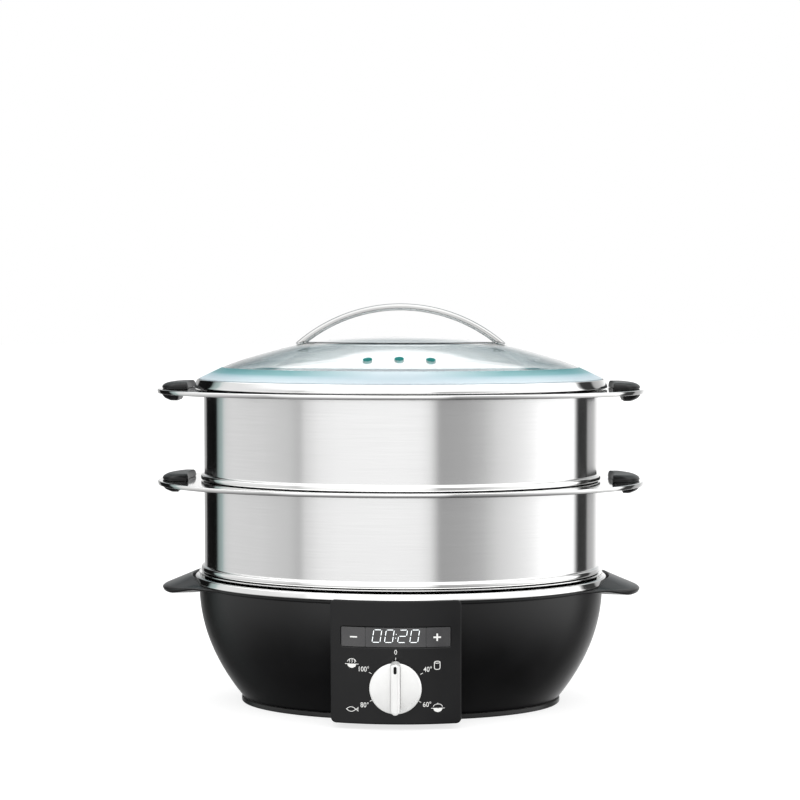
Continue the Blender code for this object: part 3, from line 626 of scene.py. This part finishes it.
def plate_loop(area, radius, inset, offset, columns=24, flat=None):
    """A mirrored loop: a rounded (x0, x1, y0, y1) area of the face, drawn in by inset, raised by offset."""
    x0, x1, y0, y1 = area[0] + inset, area[1] - inset, area[2] + inset, area[3] - inset
    radius = max(0.2, radius - inset)
    turns = [radians(90 * i / 6) for i in range(7)]
    corner = [(radius * (1 - cos(t)), radius * (1 - sin(t))) for t in turns]
    straight = [x0 + radius + (x1 - x0 - 2 * radius) * i / columns for i in range(1, columns)]
    columns_at = [(x0 + dx, dy) for dx, dy in corner] + [(x, 0) for x in straight]
    columns_at += [(x1 - dx, dy) for dx, dy in reversed(corner)]
    points = [(x, dy, (face_z(x) if flat is None else flat) + offset) for x, dy in columns_at]
    low = [Vector((x, y0 + dy, z)) for x, dy, z in points]
    return low + [Vector((x, y1 - dy, z)) for x, dy, z in reversed(points)]


def panel_slab(name, back, area, radius, front, rounding, columns=24):
    """A slab from its back loop to a front that follows the curved face and has rounded edges."""
    rows = ((back, 0), (plate_loop(area, radius, 0, front, columns), rounding),
            (plate_loop(area, radius, 2 * rounding, front, columns), 0))
    return mesh_object(name, soft_skin(rows, False, mirrored=True), PANEL)


def control_housing():
    w, low, high, wall = PANEL_HALF_WIDTH, PANEL_BOTTOM, PANEL_TOP, PANEL_WALL
    sink = PANEL_DEPTH * tan(asin(-PANEL_OUT.z))
    fine = 40
    back = plate_loop((-w, w, low, high - sink), 4, 0, 0, fine, flat=-PANEL_DEPTH)
    housing = panel_slab("fine_control_housing", back, (-w, w, low, high), 4, 0, 1.1, fine)
    w, low, high = w - wall, low + wall, high - wall
    cavity = [
        plate_loop((-w, w, low, high - sink), 2, 0, 0, fine, flat=-PANEL_DEPTH - 2),
        plate_loop((-w, w, low, high), 2, 0, -wall, fine),
    ]
    cut(housing, mesh_object("panel_cavity", skin(cavity, False, mirrored=True), PANEL))
    bowl = [(a + GAP, z) for a, z in bowl_side()]
    bowl[0] = (SHELL_FOOT_A - 4, -5)
    bowl += [(COLLAR_A + GAP, SHELL_HIGH.z + 0.1), (COLLAR_A + GAP, TANK_TOP + 5)]
    cut(housing, oval_ring("bowl_clearance", bowl, wrap=False))
    w, low, high = STRIP_HALF_WIDTH, STRIP_Y - STRIP_HALF_HEIGHT, STRIP_Y + STRIP_HALF_HEIGHT
    funnel = [plate_loop((-w, w, low, high), 2, inset, z, fine)
              for inset, z in ((0, -20), (0, -0.7), (-0.9, 0.3))]
    cut(housing, mesh_object("strip_opening", skin(funnel, False, mirrored=True), PANEL))
    bore(housing, 4.5, -25, 10, PANEL)
    place(housing, "base", "panel_plastic", "control_housing")


def display_strip():
    """The smoked window in the middle of the strip, with a button at each side of it."""
    y0, y1 = STRIP_Y - STRIP_HALF_HEIGHT + GAP, STRIP_Y + STRIP_HALF_HEIGHT - GAP
    area = (-WINDOW_HALF_WIDTH, WINDOW_HALF_WIDTH, y0, y1)
    window = panel_slab("fine_display_window", plate_loop(area, 0.3, 0, -2.2), area, 0.3, -0.38, 0.14)
    place(window, "base", "smoked_lens", "display_window")
    for node, side in (("minus_button", -1), ("plus_button", 1)):
        area = (*sorted((side * (WINDOW_HALF_WIDTH + 0.14), side * (STRIP_HALF_WIDTH - GAP))), y0, y1)
        button = panel_slab(f"fine_{node}", plate_loop(area, 1, 0, -4.6, 8), area, 1, -0.35, 0.16, 8)
        place(button, node, "smoked_lens", node)


def strokes(name, lines, width, lift=0, body="base", material=WHITE_PRINT):
    """Flat printed lines on the panel, from lists of (x, y) points in panel space."""
    bm = bmesh.new()
    for line in lines:
        points = [Vector((x, y, 0)) for x, y in line]
        closed = (points[0] - points[-1]).length < 0.01
        if closed:
            points = points[:-1]
        ribbon(bm, points, width / 2, closed)
    for vert in bm.verts:
        vert.co.z = face_z(vert.co.x) + lift + vert.co.z
    place(mesh_object(name, bm, PANEL), body, "dial_silver", material=material)


def ribbon(bm, points, half, closed):
    """A thin flat band along a line of points."""
    sections, up, last = [], Vector((0, 0, PRINT_THICKNESS)), len(points) - 1
    for i, point in enumerate(points):
        before = points[i - 1] if i or closed else point
        after = points[(i + 1) % len(points)] if i < last or closed else point
        along = (after - before).normalized() * half
        across = Vector((-along.y, along.x, 0))
        if not closed:
            point = point + along * 0.5 * ((i == last) - (i == 0))
        sections.append([point - across, point + across, point + across + up, point - across + up])
    skin(sections, closed, bm)


def arc(cx, cy, rx, ry, start, end, steps=10):
    angles = [radians(start + (end - start) * i / steps) for i in range(steps + 1)]
    return [(cx + rx * cos(t), cy + ry * sin(t)) for t in angles]


def label(name, text, x, y, height):
    """Plain figures printed on the panel."""
    curve = bpy.data.curves.new(name, "FONT")
    curve.body, curve.size = text, height * 1.42
    curve.align_x, curve.align_y = "CENTER", "CENTER"
    curve.extrude, curve.offset, curve.resolution_u = 0.05, 0.02, 3
    holder = bpy.data.objects.new(f"{name}_curve", curve)
    bpy.context.scene.collection.objects.link(holder)
    bm = bmesh.new()
    bm.from_mesh(final_mesh(holder))
    bpy.data.objects.remove(holder)
    bmesh.ops.remove_doubles(bm, verts=bm.verts, dist=0.0005)
    for vert in bm.verts:
        px, py = 0.86 * vert.co.x + x, vert.co.y + y
        vert.co = Vector((px, py, face_z(px) + 0.02 + vert.co.z))
    place(mesh_object(name, bm, PANEL, smooth_angle=5), "base", "dial_silver", material=WHITE_PRINT)


def bowl_strokes(cx, cy, width, height):
    """A filled round-bottomed bowl with two flat handles, as strokes side by side."""
    lines = [[(cx - 0.78 * width, cy - 0.3), (cx + 0.78 * width, cy - 0.3)]]
    for row in range(1, 9):
        depth = row / 8
        half = 0.5 * width * sqrt(max(0.06, 1 - depth**2.4))
        y = cy - 0.3 - depth * (height - 0.5)
        lines.append([(cx - half, y), (cx + half, y)])
    return lines


def panel_print():
    """Scale figures and ticks round the dial, and plain pictograms of what each heat is for."""
    for text, x, y, height in (("0", 0, 27.2, 3.9), ("40", 25, 13.4, 4), ("60", 24.4, -14.7, 4),
                               ("80", -24.4, -15.4, 4), ("100", -25.2, 13.3, 4)):
        label(f"print_{text}", text + ("" if text == "0" else "°"), x, y, height)
    ticks = [[(r * cos(radians(angle)), r * sin(radians(angle))) for r in (start, start + 1.8)]
             for angle, start in ((90, 21.2), (26.8, 21.6), (-33, 21.6), (211, 21.6), (152, 21.6))]
    strokes("print_ticks", ticks, 0.5)
    x, y = -34.4, 17.6
    steaming = bowl_strokes(x, y, 6.6, 3.4)
    for dx in (-1.9, 0.1, 2.1):
        wisp = ((0, 0.9), (0.5, 1.8), (0, 2.7), (0.4, 3.4))
        steaming.append([(x + dx + across, y + up) for across, up in wisp])
    steaming.append(arc(x, y + 0.4, 3.6, 3.6, 20, 160))
    strokes("print_steaming_pot", steaming, 0.45)
    x, y = 32.3, 16.6
    foot = arc(x, y - 2, 2.2, 1.3, 180, 360)
    jar = [arc(x, y + 2.5, 2.2, 0.8, 0, 360, 16), [(x - 2.2, y + 2.4), *foot, (x + 2.2, y + 2.4)]]
    strokes("print_jar", jar, 0.55)
    x, y = -34.2, -18.9
    tail = ((2.8, -0.3), (5, 1.7), (4.4, 0), (5, -1.7), (2.8, 0.3))
    fish = [arc(x - 0.8, y - 4.4, 5, 6.2, 42, 138, 12),
            arc(x - 0.8, y + 4.4, 5, 6.2, -42, -138, 12), [(x + dx, y + dy) for dx, dy in tail]]
    strokes("print_fish", fish, 0.5)
    x, y = 32.8, -17.4
    covered = bowl_strokes(x, y, 6.6, 3.4)
    covered += [arc(x, y + 0.9, 3.5, 2.2, 0, 180), [(x, y + 3.1), (x, y + 3.9)]]
    strokes("print_covered_pot", covered, 0.45)


SEGMENTS_LIT = {"0": "abcdef", "2": "abged"}
SEGMENT_ENDS = {
    "a": ((-1, 1), (1, 1)), "b": ((1, 1), (1, 0)), "c": ((1, 0), (1, -1)), "d": ((1, -1), (-1, -1)),
    "e": ((-1, -1), (-1, 0)), "f": ((-1, 0), (-1, 1)), "g": ((-1, 0), (1, 0)),
}
SEGMENT_TRIM = 0.14  # share of a segment left off at each of its ends


def display_digits():
    """The clock's slanted seven-segment figures and its colon."""
    tall, wide, thick, slant = 9.9, 6.2, 0.56, 0.16
    middle_y = STRIP_Y + 1.1
    lines = []
    for figure, cx in zip("0020", (-14.6, -4.9, 5.4, 14.8)):
        for segment in SEGMENTS_LIT[figure]:
            (u0, v0), (u1, v1) = SEGMENT_ENDS[segment]
            line = []
            for share in (SEGMENT_TRIM, 1 - SEGMENT_TRIM):
                u, v = u0 + (u1 - u0) * share, v0 + (v1 - v0) * share
                line.append((cx + u * wide / 2 + v * tall / 2 * slant, middle_y + v * tall / 2))
            lines.append(line)
    for v in (-0.3, 0.3):
        y = v * tall / 2
        lines.append([(0.25 + y * slant, middle_y + y + half) for half in (-0.2, 0.2)])
    strokes("display_digits", lines, thick, -0.38, material=DISPLAY_LIGHT)


def button_signs():
    y = STRIP_Y
    strokes("minus_sign", [[(-35.4, y), (-30.4, y)]], 1.15, -0.33, "minus_button")
    x, reach = 32.3, 2.6
    strokes("plus_sign", [[(x - reach, y), (x + reach, y)]], 1.3, -0.33, "plus_button")
    strokes("plus_sign_upright", [[(x, y - reach), (x, y + reach)]], 1.3, -0.32, "plus_button")


def dial_bar(half, top, bottom, roundness, z):
    """The outline of the bar across the dial, flatter at its top end."""
    outline = []
    for end, long in ((1, top), (-1, bottom)):
        point = (0.62 if end > 0 else 1.1) * roundness
        for step in range(13):
            t = radians(-90 + 15 * step)
            y = long - half * point + half * point * cos(t)
            outline.append(Vector((-end * half * sin(t), end * y, z)))
    return outline


def dial():
    """A domed disc with a grip bar across it, and a black mark at the bar's top end."""
    r = DIAL_RADIUS
    disc = (
        (r * 0.5, 0.9), (r - 1.9, 0.9, 0.3), (r - 0.05, 6.3, 0.5), (r - 0.9, 7.2, 0.6),
        (r * 0.62, 8.2, 4), (r * 0.25, 8.7, 2), (r * 0.02, 8.8),
    )
    knob = turned("fine_dial_knob", disc, PANEL, sides=96)
    half, top, bottom = 3.75, r + 0.7, r - 0.9
    slot = [dial_bar(half + 0.4, top + 2, bottom + 3, 1, z) for z in (6.6, 10)]
    cut(knob, mesh_object("dial_slot", skin(slot, False), PANEL))
    rows = ((1, 1, 4, 0), (0.97, 0.997, 13.4, 0.9), (0.72, 0.96, 14.9, 0.8), (0.3, 0.86, 15.2, 0))
    ridge = [(dial_bar(half * sx, top * (0.4 * sy + 0.6), bottom * sy, sx, z), soft)
             for sx, sy, z, soft in rows]
    cut(knob, mesh_object("dial_ridge", soft_skin(ridge, False), PANEL), "UNION")
    bore(knob, 3.3, -5, 7.5, PANEL, 32)
    place(knob, "dial", "dial_silver", "dial_knob")
    turns = [2 * pi * (i + 0.5) / 20 for i in range(20)]
    nose = [(cos(t), sin(t), copysign(1.8, sin(t))) for t in turns]
    loops = [[Vector((radius * u, 16.7 + half + radius * v, z)) for u, v, half in nose]
             for z, radius in ((14.2, 1.35), (15.1, 1.35), (15.3, 1.08))]
    mark = mesh_object("dial_mark", skin(loops, False), PANEL)
    place(mark, "dial", "dark_parts", material=LOOKS["grip_plastic"])
    shaft = ((3, -7.9, 0.2), (3, 6.5, 0.3), (2.4, 7.1))
    place(turned("fine_dial_spindle", shaft, PANEL, sides=32), "dial", "polished_steel", "dial_spindle")


# ---- tray and baskets


def juice_tray():
    low, high = node_box("juice_tray")
    rim, floor = half_width("juice_tray"), low.z
    wall = rim - 6.7
    inside = ((rim, high.z - 0.8, 0.3), (rim, high.z, 0.3), (wall - 0.8, high.z, 0.8),
              (wall - 0.8, high.z - 5.9, 4), (wall - 8, floor + 0.8, 4))
    chimney = ((62, floor + 0.8, 2.5), (60, floor + 7.6, 0.3), (58.8, floor + 7.6, 0.3), (60.8, floor, 2.5))
    outside = ((wall - 7.4, floor, 4), (wall, high.z - 6.1, 4), (wall, high.z - 0.8, 0.4))
    rows = [(oval(a, z), soft) for a, z, soft in inside]
    rows += [(oval(a, z, 0.5 * a), soft) for a, z, soft in chimney]
    rows += [(oval(a, z), soft) for a, z, soft in outside]
    place(mesh_object("fine_juice_tray", soft_skin(rows, True)), "juice_tray", "polished_steel", "juice_tray")


def basket_wall(level):
    """The satin wall, with its rolled foot bead and the ledge that the grid lies on."""
    node = f"{level}_basket_wall"
    low, high = node_box(node)
    bottom, top, bead = low.z + 4.2, high.z, half_width(node)
    wall, spigot, ledge, sheet = bead - 2.9, bead - 6.4, bead - 14.3, 1
    profile = (
        (wall, top), (wall, bottom + 5.2, 0.4), (bead - 0.5, bottom + 4.4, 1),
        (bead, bottom + 2.4, 1.3), (bead - 0.4, bottom + 0.3, 0.9), (bead - 2.6, bottom - 0.1, 0.8),
        (spigot, bottom, 0.5), (spigot, bottom - 4.2, 0.6), (ledge, bottom - 4.2, 0.3),
        (ledge, bottom - 3.2, 0.3), (spigot - 0.9, bottom - 3.2, 0.6), (spigot - 0.9, bottom + 1.2, 1),
        (wall - sheet, bottom + 3.8, 1.5), (wall - sheet, top),
    )
    made = oval_ring(f"fine_{node}", profile)
    made.data.materials.append(LOOKS["brushed_steel"])
    made.data.materials.append(LOOKS["polished_steel"])
    for face in made.data.polygons:
        if face.center.z < (bottom + 6.5) * MM:
            face.material_index = 1
    place(made, f"{level}_basket", "brushed_steel", node)


def basket_rim(level):
    """The polished oval rim, wide enough at each end for an ear, with its edge turned down."""
    node = f"{level}_basket_rim"
    low, high = node_box(node)
    a, b = (high.x - low.x) / 2, (high.y - low.y) / 2
    inner = half_width(f"{level}_basket_wall") - 4.9
    rows = [(oval(inner, high.z - 1), 0.3), (oval(inner, high.z), 0.4)]
    edge = ((0.1, high.z, 1.2), (0, high.z - 1.5, 0.8), (0.5, low.z, 0.5), (1.3, low.z, 0.4),
            (1.3, high.z - 1, 0.6))
    rows += [(oval(a - inset, z, b - inset), soft) for inset, z, soft in edge]
    rim = mesh_object(f"fine_{node}", soft_skin(rows, True, 5))
    for side_name, _ in SIDES:
        centre = at(middle(f"{level}_grip_screw_{side_name}").x, AXIS_Y, high.z)
        bore(rim, 2, -6, 4, centre, 24)
    place(rim, f"{level}_basket", "polished_steel", node)


def oval_x(a, b, y):
    return a * sqrt(1 - (y / b) ** 2)


def pad_outline(side, half, outer_a, outer_b, hollow, sag, steps=48):
    """An ear pad's outline: its outer edge follows the rim, its inner edge is hollow by sag."""
    outline = []
    for i in range(steps):
        t = 2 * pi * i / steps
        y = half * sin(t)
        outer, inner = oval_x(outer_a, outer_b, y), hollow - sag * sin(t) ** 2
        across = cos(t) ** 0.6 if cos(t) > 0 else -abs(cos(t)) ** 0.32
        x = (outer + inner) / 2 + (outer - inner) / 2 * across
        outline.append(Vector((side * x, AXIS_Y + y, 0)))
    return outline


def grip_pad(node, side, layers, half, hollow, sag, outer_a, outer_b, hole, centre):
    """A pad from (drawn in, height, rounding) layers, with a stepped hole for its screw."""
    rows = []
    for drawn_in, z, soft in layers:
        outline = pad_outline(side, half - 0.7 * drawn_in, outer_a - drawn_in, outer_b - drawn_in,
                              hollow + 0.25 * drawn_in, sag)
        rows.append(([Vector((p.x, p.y, z)) for p in outline], soft))
    pad = mesh_object(f"fine_{node}", soft_skin(rows, False, 6), smooth_angle=SOFT_ANGLE)
    cut(pad, turned("screw_hole", hole, centre, sides=24), angle=SOFT_ANGLE)
    place(pad, f"{node.split('_')[0]}_basket", "grip_plastic", node)


def grips(level):
    """Each ear is held between a wide pad above and a small finger rest below, by one screw."""
    rim_low, rim_high = node_box(f"{level}_basket_rim")
    top = rim_high.z
    a, b = (rim_high.x - rim_low.x) / 2 - 3.4, (rim_high.y - rim_low.y) / 2 - 3.4
    for side_name, side in SIDES:
        upper, lower = f"{level}_grip_{side_name}_top", f"{level}_grip_{side_name}_bottom"
        crown, keel = node_box(upper)[1].z, node_box(lower)[0].z
        node = f"{level}_grip_screw_{side_name}"
        low, high = node_box(node)
        centre = at(middle(node).x, AXIS_Y, 0)
        hole = ((3.1, top - 14), (3.1, keel + 2.9), (1.9, keel + 2.9), (1.9, top + 3.6))
        layers = ((0.8, top + GAP, 0), (0, top + 1.6, 1), (1.2, top + 3.3, 1.2),
                  (4.5, crown - 0.8, 2.4), (10, crown, 0))
        grip_pad(upper, side, layers, 29, 176.6, 5.4, a, b, hole, centre)
        layers = ((0, top - 1 - GAP, 0), (0.6, top - 3.6, 1.4), (3.2, keel + 1.4, 2.2),
                  (8, keel - 0.6, 0))
        grip_pad(lower, side, layers, 20, 183, 1.5, a + 1.4, b + 1.4, hole, centre)
        screw(node, centre @ at(0, 0, low.z), 2.7, 1.7, high.z - low.z, f"{level}_basket")


def basket_grid(level):
    """The perforated steam plate that lies on the basket's ledge."""
    node = f"{level}_basket_grid"
    low, high = node_box(node)
    edge = half_width(node)
    profile = (
        (edge - 0.2, low.z), (edge, low.z + 0.3, 0.2), (edge, high.z - 0.3, 0.2), (edge - 0.2, high.z),
    )
    grid = oval_ring(f"fine_{node}", profile, wrap=False)
    punch = bmesh.new()
    step_x, step_y, radius = 18, 15.6, 3.2
    for row in range(-6, 7):
        for column in range(-9, 10):
            x, y = (column + 0.5 * (row % 2)) * step_x, row * step_y
            if (x / (edge - 12)) ** 2 + (y / (edge - AXIS_DIFFERENCE - 12)) ** 2 < 1:
                hole = [[p + Vector((x, AXIS_Y + y, 0)) for p in circle(radius, z, 20)]
                        for z in (low.z - 2, high.z + 2)]
                skin(hole, False, punch)
    cut(grid, mesh_object("grid_punch", punch))
    place(grid, f"{level}_grid", "brushed_steel", node)


# ---- lid

GLASS_HIGH = node_box("lid_glass")[1]
GLASS_EDGE = half_width("lid_glass")
GLASS_THICKNESS = 4
VENT_Y, VENT_SPACING, VENT_RADIUS, VENT_ASIDE = -83, 25.1, 3.8, 1.5
HANDLE_LOW, HANDLE_HIGH = node_box("lid_handle")
HANDLE_HALF_HEIGHT, HANDLE_RADIUS, HANDLE_FOOT_X = 3, 129.5, 82
HANDLE_HALF_DEPTH = (HANDLE_HIGH.y - HANDLE_LOW.y) / 2
# Share of the glass's half-width, drop below its top, and how softly it bends there
DOME = (
    (1, 34.4, 0), (0.889, 25.6, 1.2), (0.8, 19.7, 7), (0.7, 14.7, 8), (0.573, 8.9, 9),
    (0.4535, 4.4, 2), (0.2625, 1.2, 15), (0.0716, 0, 0),
)


def glass_half_depth(a):
    """The dome is rounder towards its edge than towards its top."""
    return a * (0.60 + 0.112 * a / GLASS_EDGE)


def dome_share(x, y):
    """How far out a point of the dome is, as a share of the half-width of the glass."""
    share = hypot(x, y / 0.66) / GLASS_EDGE
    for _ in range(6):
        depth = glass_half_depth(share * GLASS_EDGE) / (share * GLASS_EDGE)
        share = hypot(x, y / depth) / GLASS_EDGE
    return share


def glass_height(x):
    points = [(share * GLASS_EDGE, GLASS_HIGH.z - drop) for share, drop, _ in reversed(DOME)]
    for (a0, z0), (a1, z1) in zip(points, points[1:]):
        if abs(x) <= a1:
            return z0 + (z1 - z0) * (abs(x) - a0) / (a1 - a0)
    return points[-1][1]


def glass_slope(x):
    run = 4
    return atan2(glass_height(x - run) - glass_height(x + run), 2 * run)


def lid_glass():
    upper, lower = [], []
    for share, drop, _ in DOME:
        a, z = share * GLASS_EDGE, GLASS_HIGH.z - drop
        upper.append(oval(a, z, b=glass_half_depth(a)))
        lower.append(oval(a - 0.6, z - GLASS_THICKNESS, b=glass_half_depth(a) - 0.6))
    soft = [reach for _, _, reach in DOME]
    upper.insert(0, oval(GLASS_EDGE, GLASS_HIGH.z - DOME[0][1] - 0.4, b=glass_half_depth(GLASS_EDGE)))
    rows = soften(upper[::-1], (soft[:1] + [0.8] + soft[1:])[::-1], False, 6)
    rows += soften(lower, soft, False, 6)
    dome = mesh_object("fine_lid_glass", skin(rows, False))
    for i in (-1, 0, 1):
        centre = at(VENT_ASIDE + VENT_SPACING * i, AXIS_Y + VENT_Y, 0)
        bore(dome, VENT_RADIUS, 260, 320, centre, 40)
    for side in (-1, 1):
        bore(dome, 2.4, -12, 6, handle_foot(side), 32)
    for material in (LOOKS["glass"], GROUND_EDGE_PAINTED_GLOW, SKIRT_GLASS_PAINTED_GLOW):
        dome.data.materials.append(material)
    fold = DOME[1][0]
    for face in dome.data.polygons:
        share = dome_share(face.center.x / MM, face.center.y / MM - AXIS_Y)
        # the skirt's faces wear the painted glow of light inside the glass
        if share > fold - 0.002:
            face.material_index = 2
        # the upright faces of the edge and the vents wear the painted teal glow
        elif abs(face.normal.z) < 0.3:
            face.material_index = 1
    place(dome, "lid", "glass", "lid_glass")


def lid_rim():
    """The polished ring that carries the glass and drops a spigot into the basket."""
    z, e = LID_LOW.z + 4, half_width("lid_rim")
    profile = (
        (164.4, z + 3.3, 0.3), (168.6, z + 4.3, 0.3), (168.7, z + 7.7, 0.3), (e - 2.4, z + 7.7, 0.6),
        (e - 0.3, z + 2.4, 2), (e, z + 1, 0.5), (e - 1.8, z, 0.4), (161.2, z, 0.3), (161.2, z - 4, 0.3),
        (160.2, z - 4, 0.3), (160.2, z + 1.4, 0.8),
    )
    place(oval_ring("fine_lid_rim", profile), "lid", "polished_steel", "lid_rim")


def handle_foot(side):
    """The frame of a handle foot: on the glass, with z square to it."""
    spot = at(side * HANDLE_FOOT_X, AXIS_Y, glass_height(HANDLE_FOOT_X))
    return spot @ Matrix.Rotation(side * glass_slope(HANDLE_FOOT_X), 4, "Y")


def lid_handle():
    """A flattened bar bent to one arc, its ends cut along the glass."""
    centre_z = HANDLE_HIGH.z - HANDLE_HALF_HEIGHT - HANDLE_RADIUS
    sides, steps = 40, 72
    end = asin(HANDLE_FOOT_X / HANDLE_RADIUS)
    foot_z = glass_height(HANDLE_FOOT_X) + 1.4
    slope = tan(glass_slope(HANDLE_FOOT_X))
    loops = []
    for step in range(steps + 1):
        t = -end + 2 * end * step / steps
        radial = Vector((sin(t), 0, cos(t)))
        along = Vector((cos(t), 0, -sin(t)))
        core = Vector((0, AXIS_Y, centre_z)) + HANDLE_RADIUS * radial
        loop = []
        for k in range(sides):
            u = 2 * pi * k / sides
            up, wide = (copysign(abs(way) ** 0.8, way) for way in (cos(u), sin(u)))
            point = core + HANDLE_HALF_HEIGHT * up * radial
            point.y += HANDLE_HALF_DEPTH * wide
            if step in (0, steps):
                side = 1 if step else -1
                level = foot_z - slope * (side * point.x - HANDLE_FOOT_X)
                point = point - (point.z - level) / (along.z + side * slope * along.x) * along
            loop.append(point)
        loops.append(loop)
    handle = mesh_object("fine_lid_handle", skin(loops, False))
    for side_name, side in SIDES:
        matrix = handle_foot(side)
        bore(handle, 1.65, -2, 3.4, matrix, 24)
        under = -GLASS_THICKNESS - 0.5
        for kind, edge, low, high, soft in (("washer", 5, 0.4, 1.1, 0.2),
                                            ("seal", 6, under - 1.1, under - 0.2, 0.3)):
            profile = ((1.75, low, 0.1), (edge, low, soft), (edge, high, 0.2), (1.75, high, 0.1))
            node = f"handle_{kind}_{side_name}"
            place(turned(f"fine_{node}", profile, matrix, wrap=True), "lid", "silicone", node)
        head, node = under - 1.4 - 2.2, f"handle_screw_{side_name}"
        screw(node, matrix @ at(0, 0, head), 3.4, 2.2, 3.1 - head, "lid")
    # the handle wears the darker copy of polished steel: painted shade
    place(handle, "lid", "polished_steel", "lid_handle", material=HANDLE_STEEL_PAINTED_SHADE)


# ---- studio

# The studio round the object, as (degrees round from the front, brightness, any share of teal): soft
# white panels with two dark flags at the sides, which draw dark bands down the ends of the steel walls.
STUDIO_LEFT = (
    (-180, 1.18), (-174, 1.1), (-168, 0.7), (-160, 0.48), (-151, 0.4), (-148.5, 0.32), (-146.5, 0.01),
    (-119.5, 0.005), (-117, 0.27, 1), (-114.5, 0.42, 1), (-109.5, 0.54, 1), (-107.5, 0.74, 0.4),
    (-104.5, 0.83, 0.1), (-100, 0.88), (-94, 0.9), (-70, 0.88), (-52, 0.78), (-45.5, 0.65),
    (-42.5, 0.94), (-35, 1.17), (-26, 1.25), (0, 1.27),
)
STUDIO_RIGHT = (
    (0, 1.27), (8, 1.25), (12.2, 1.1), (14.5, 0.8), (16.3, 0.47), (28, 0.53), (36, 0.66), (44, 0.92),
    (60, 1.2), (66, 1.35), (70, 1.5), (103.5, 1.5), (105.5, 0.9), (107.5, 0.33), (110, 0.045),
    (124.5, 0.045), (128, 0.42), (132, 0.5), (142, 0.6), (150, 0.8), (158, 1.05), (166, 1.05),
    (174, 1.1), (180, 1.18),
)
WHITE = (1, 1, 1, 1)  # what the camera sees behind the object
CEILING, CEILING_FROM, CEILING_FULL = (1.9, 1.9, 1.9, 1), 0.45, 0.7
TABLE, TABLE_FROM, TABLE_FULL = (0.06, 0.06, 0.06, 1), -0.08, -0.7
TABLE_BEHIND, BEHIND = 0.7, (0.1, 0.8)  # how much of the table's darkness is lost behind, and where
# A wide grey card behind the object and above it, which the glass dome reflects as an arch
CARD, CARD_TOP, CARD_HALF_WIDTH, CARD_FADE = (0.07, 0.14, 0.16, 1), 0.635, 0.4, (0.12, 0.48)


def panels(studio, turn, stops):
    """Brightness round the object, from stops in degrees."""
    low, high = stops[0][0], stops[-1][0]
    tones = []
    for angle, level, *teal in stops:
        teal = sum(teal)
        tones.append(((angle - low) / (high - low),
                      (level * (1 - 0.16 * teal), level * (1 + 0.03 * teal), level * (1 + 0.01 * teal))))
    return studio.blend(studio.share(turn, radians(low), radians(high)), tones)


def studio_world():
    world = bpy.data.worlds.new("studio")
    world.use_nodes = True
    bpy.context.scene.world = world
    studio = Nodes(world.node_tree)
    studio.tree.nodes.clear()
    x, y, z = studio.axes("Generated")
    turn = studio.math("ARCTAN2", x, studio.math("MULTIPLY", y, -1))
    light = studio.mix(studio.math("GREATER_THAN", turn, 0), panels(studio, turn, STUDIO_LEFT),
                       panels(studio, turn, STUDIO_RIGHT))
    light = studio.mix(studio.share(z, CEILING_FROM, CEILING_FULL, True), light, CEILING)
    lost = studio.math("MULTIPLY", studio.share(y, *BEHIND), TABLE_BEHIND)
    down = studio.math("MULTIPLY", studio.share(z, TABLE_FROM, TABLE_FULL, True),
                       studio.math("SUBTRACT", 1, lost))
    light = studio.mix(down, light, TABLE)
    aside = studio.math("ABSOLUTE", x)
    across = studio.share(aside, CARD_HALF_WIDTH + 0.06, CARD_HALF_WIDTH - 0.06, True)
    under = studio.math("MULTIPLY", studio.share(z, CARD_TOP + 0.015, CARD_TOP - 0.015, True),
                        studio.share(z, *CARD_FADE))
    behind = studio.math("MULTIPLY", across, studio.math("GREATER_THAN", y, 0))
    light = studio.mix(studio.math("MULTIPLY", behind, under), light, CARD)
    seen = studio.node("ShaderNodeLightPath").outputs["Is Camera Ray"]
    background = studio.node("ShaderNodeBackground", Strength=1)
    studio.link(studio.mix(seen, light, WHITE), background.inputs["Color"])
    output = studio.node("ShaderNodeOutputWorld")
    studio.link(background.outputs["Background"], output.inputs["Surface"])


def floor():
    """A plain pale table top that fades into the white studio."""
    bm = bmesh.new()
    bmesh.ops.create_circle(bm, cap_ends=True, segments=64, radius=12000)
    table = mesh_object("floor", bm)
    paint = Paint("pale_table", (0.36, 0.36, 0.36), 0.9, Specular_IOR_Level=0,
                  Emission_Color=WHITE, Emission_Strength=0.74)
    paint.tone(paint.noise(3), (0.355, 0.355, 0.355), (0.365, 0.365, 0.365))
    table.data.materials.append(paint.material)
    table.visible_glossy = False


def camera():
    """A long lens, a little above the lid and a touch to the right, as in a catalogue photograph."""
    azimuth, pitch, distance, height, aside = radians(1.75), radians(3), 1.667, 0.3396, -0.0004
    data = bpy.data.cameras.new("camera")
    data.lens, data.sensor_width, data.sensor_fit = 90, 36, "HORIZONTAL"
    data.dof.use_dof = False
    obj = bpy.data.objects.new("camera", data)
    obj.location = (distance * sin(azimuth) + aside, AXIS_Y * MM - distance * cos(azimuth), height)
    obj.rotation_euler = (pi / 2 - pitch, 0, azimuth)
    bpy.context.scene.collection.objects.link(obj)
    bpy.context.scene.camera = obj


camera()
studio_world()
floor()
dress_cad_nodes()
base_shell()
base_plate()
wing_collar()
water_tank()
cord_gland()
control_housing()
display_strip()
panel_print()
display_digits()
button_signs()
dial()
juice_tray()
for tier in ("lower", "upper"):
    basket_wall(tier)
    basket_rim(tier)
    grips(tier)
    basket_grid(tier)
lid_glass()
lid_rim()
lid_handle()
bpy.context.scene.view_settings.view_transform = "Standard"
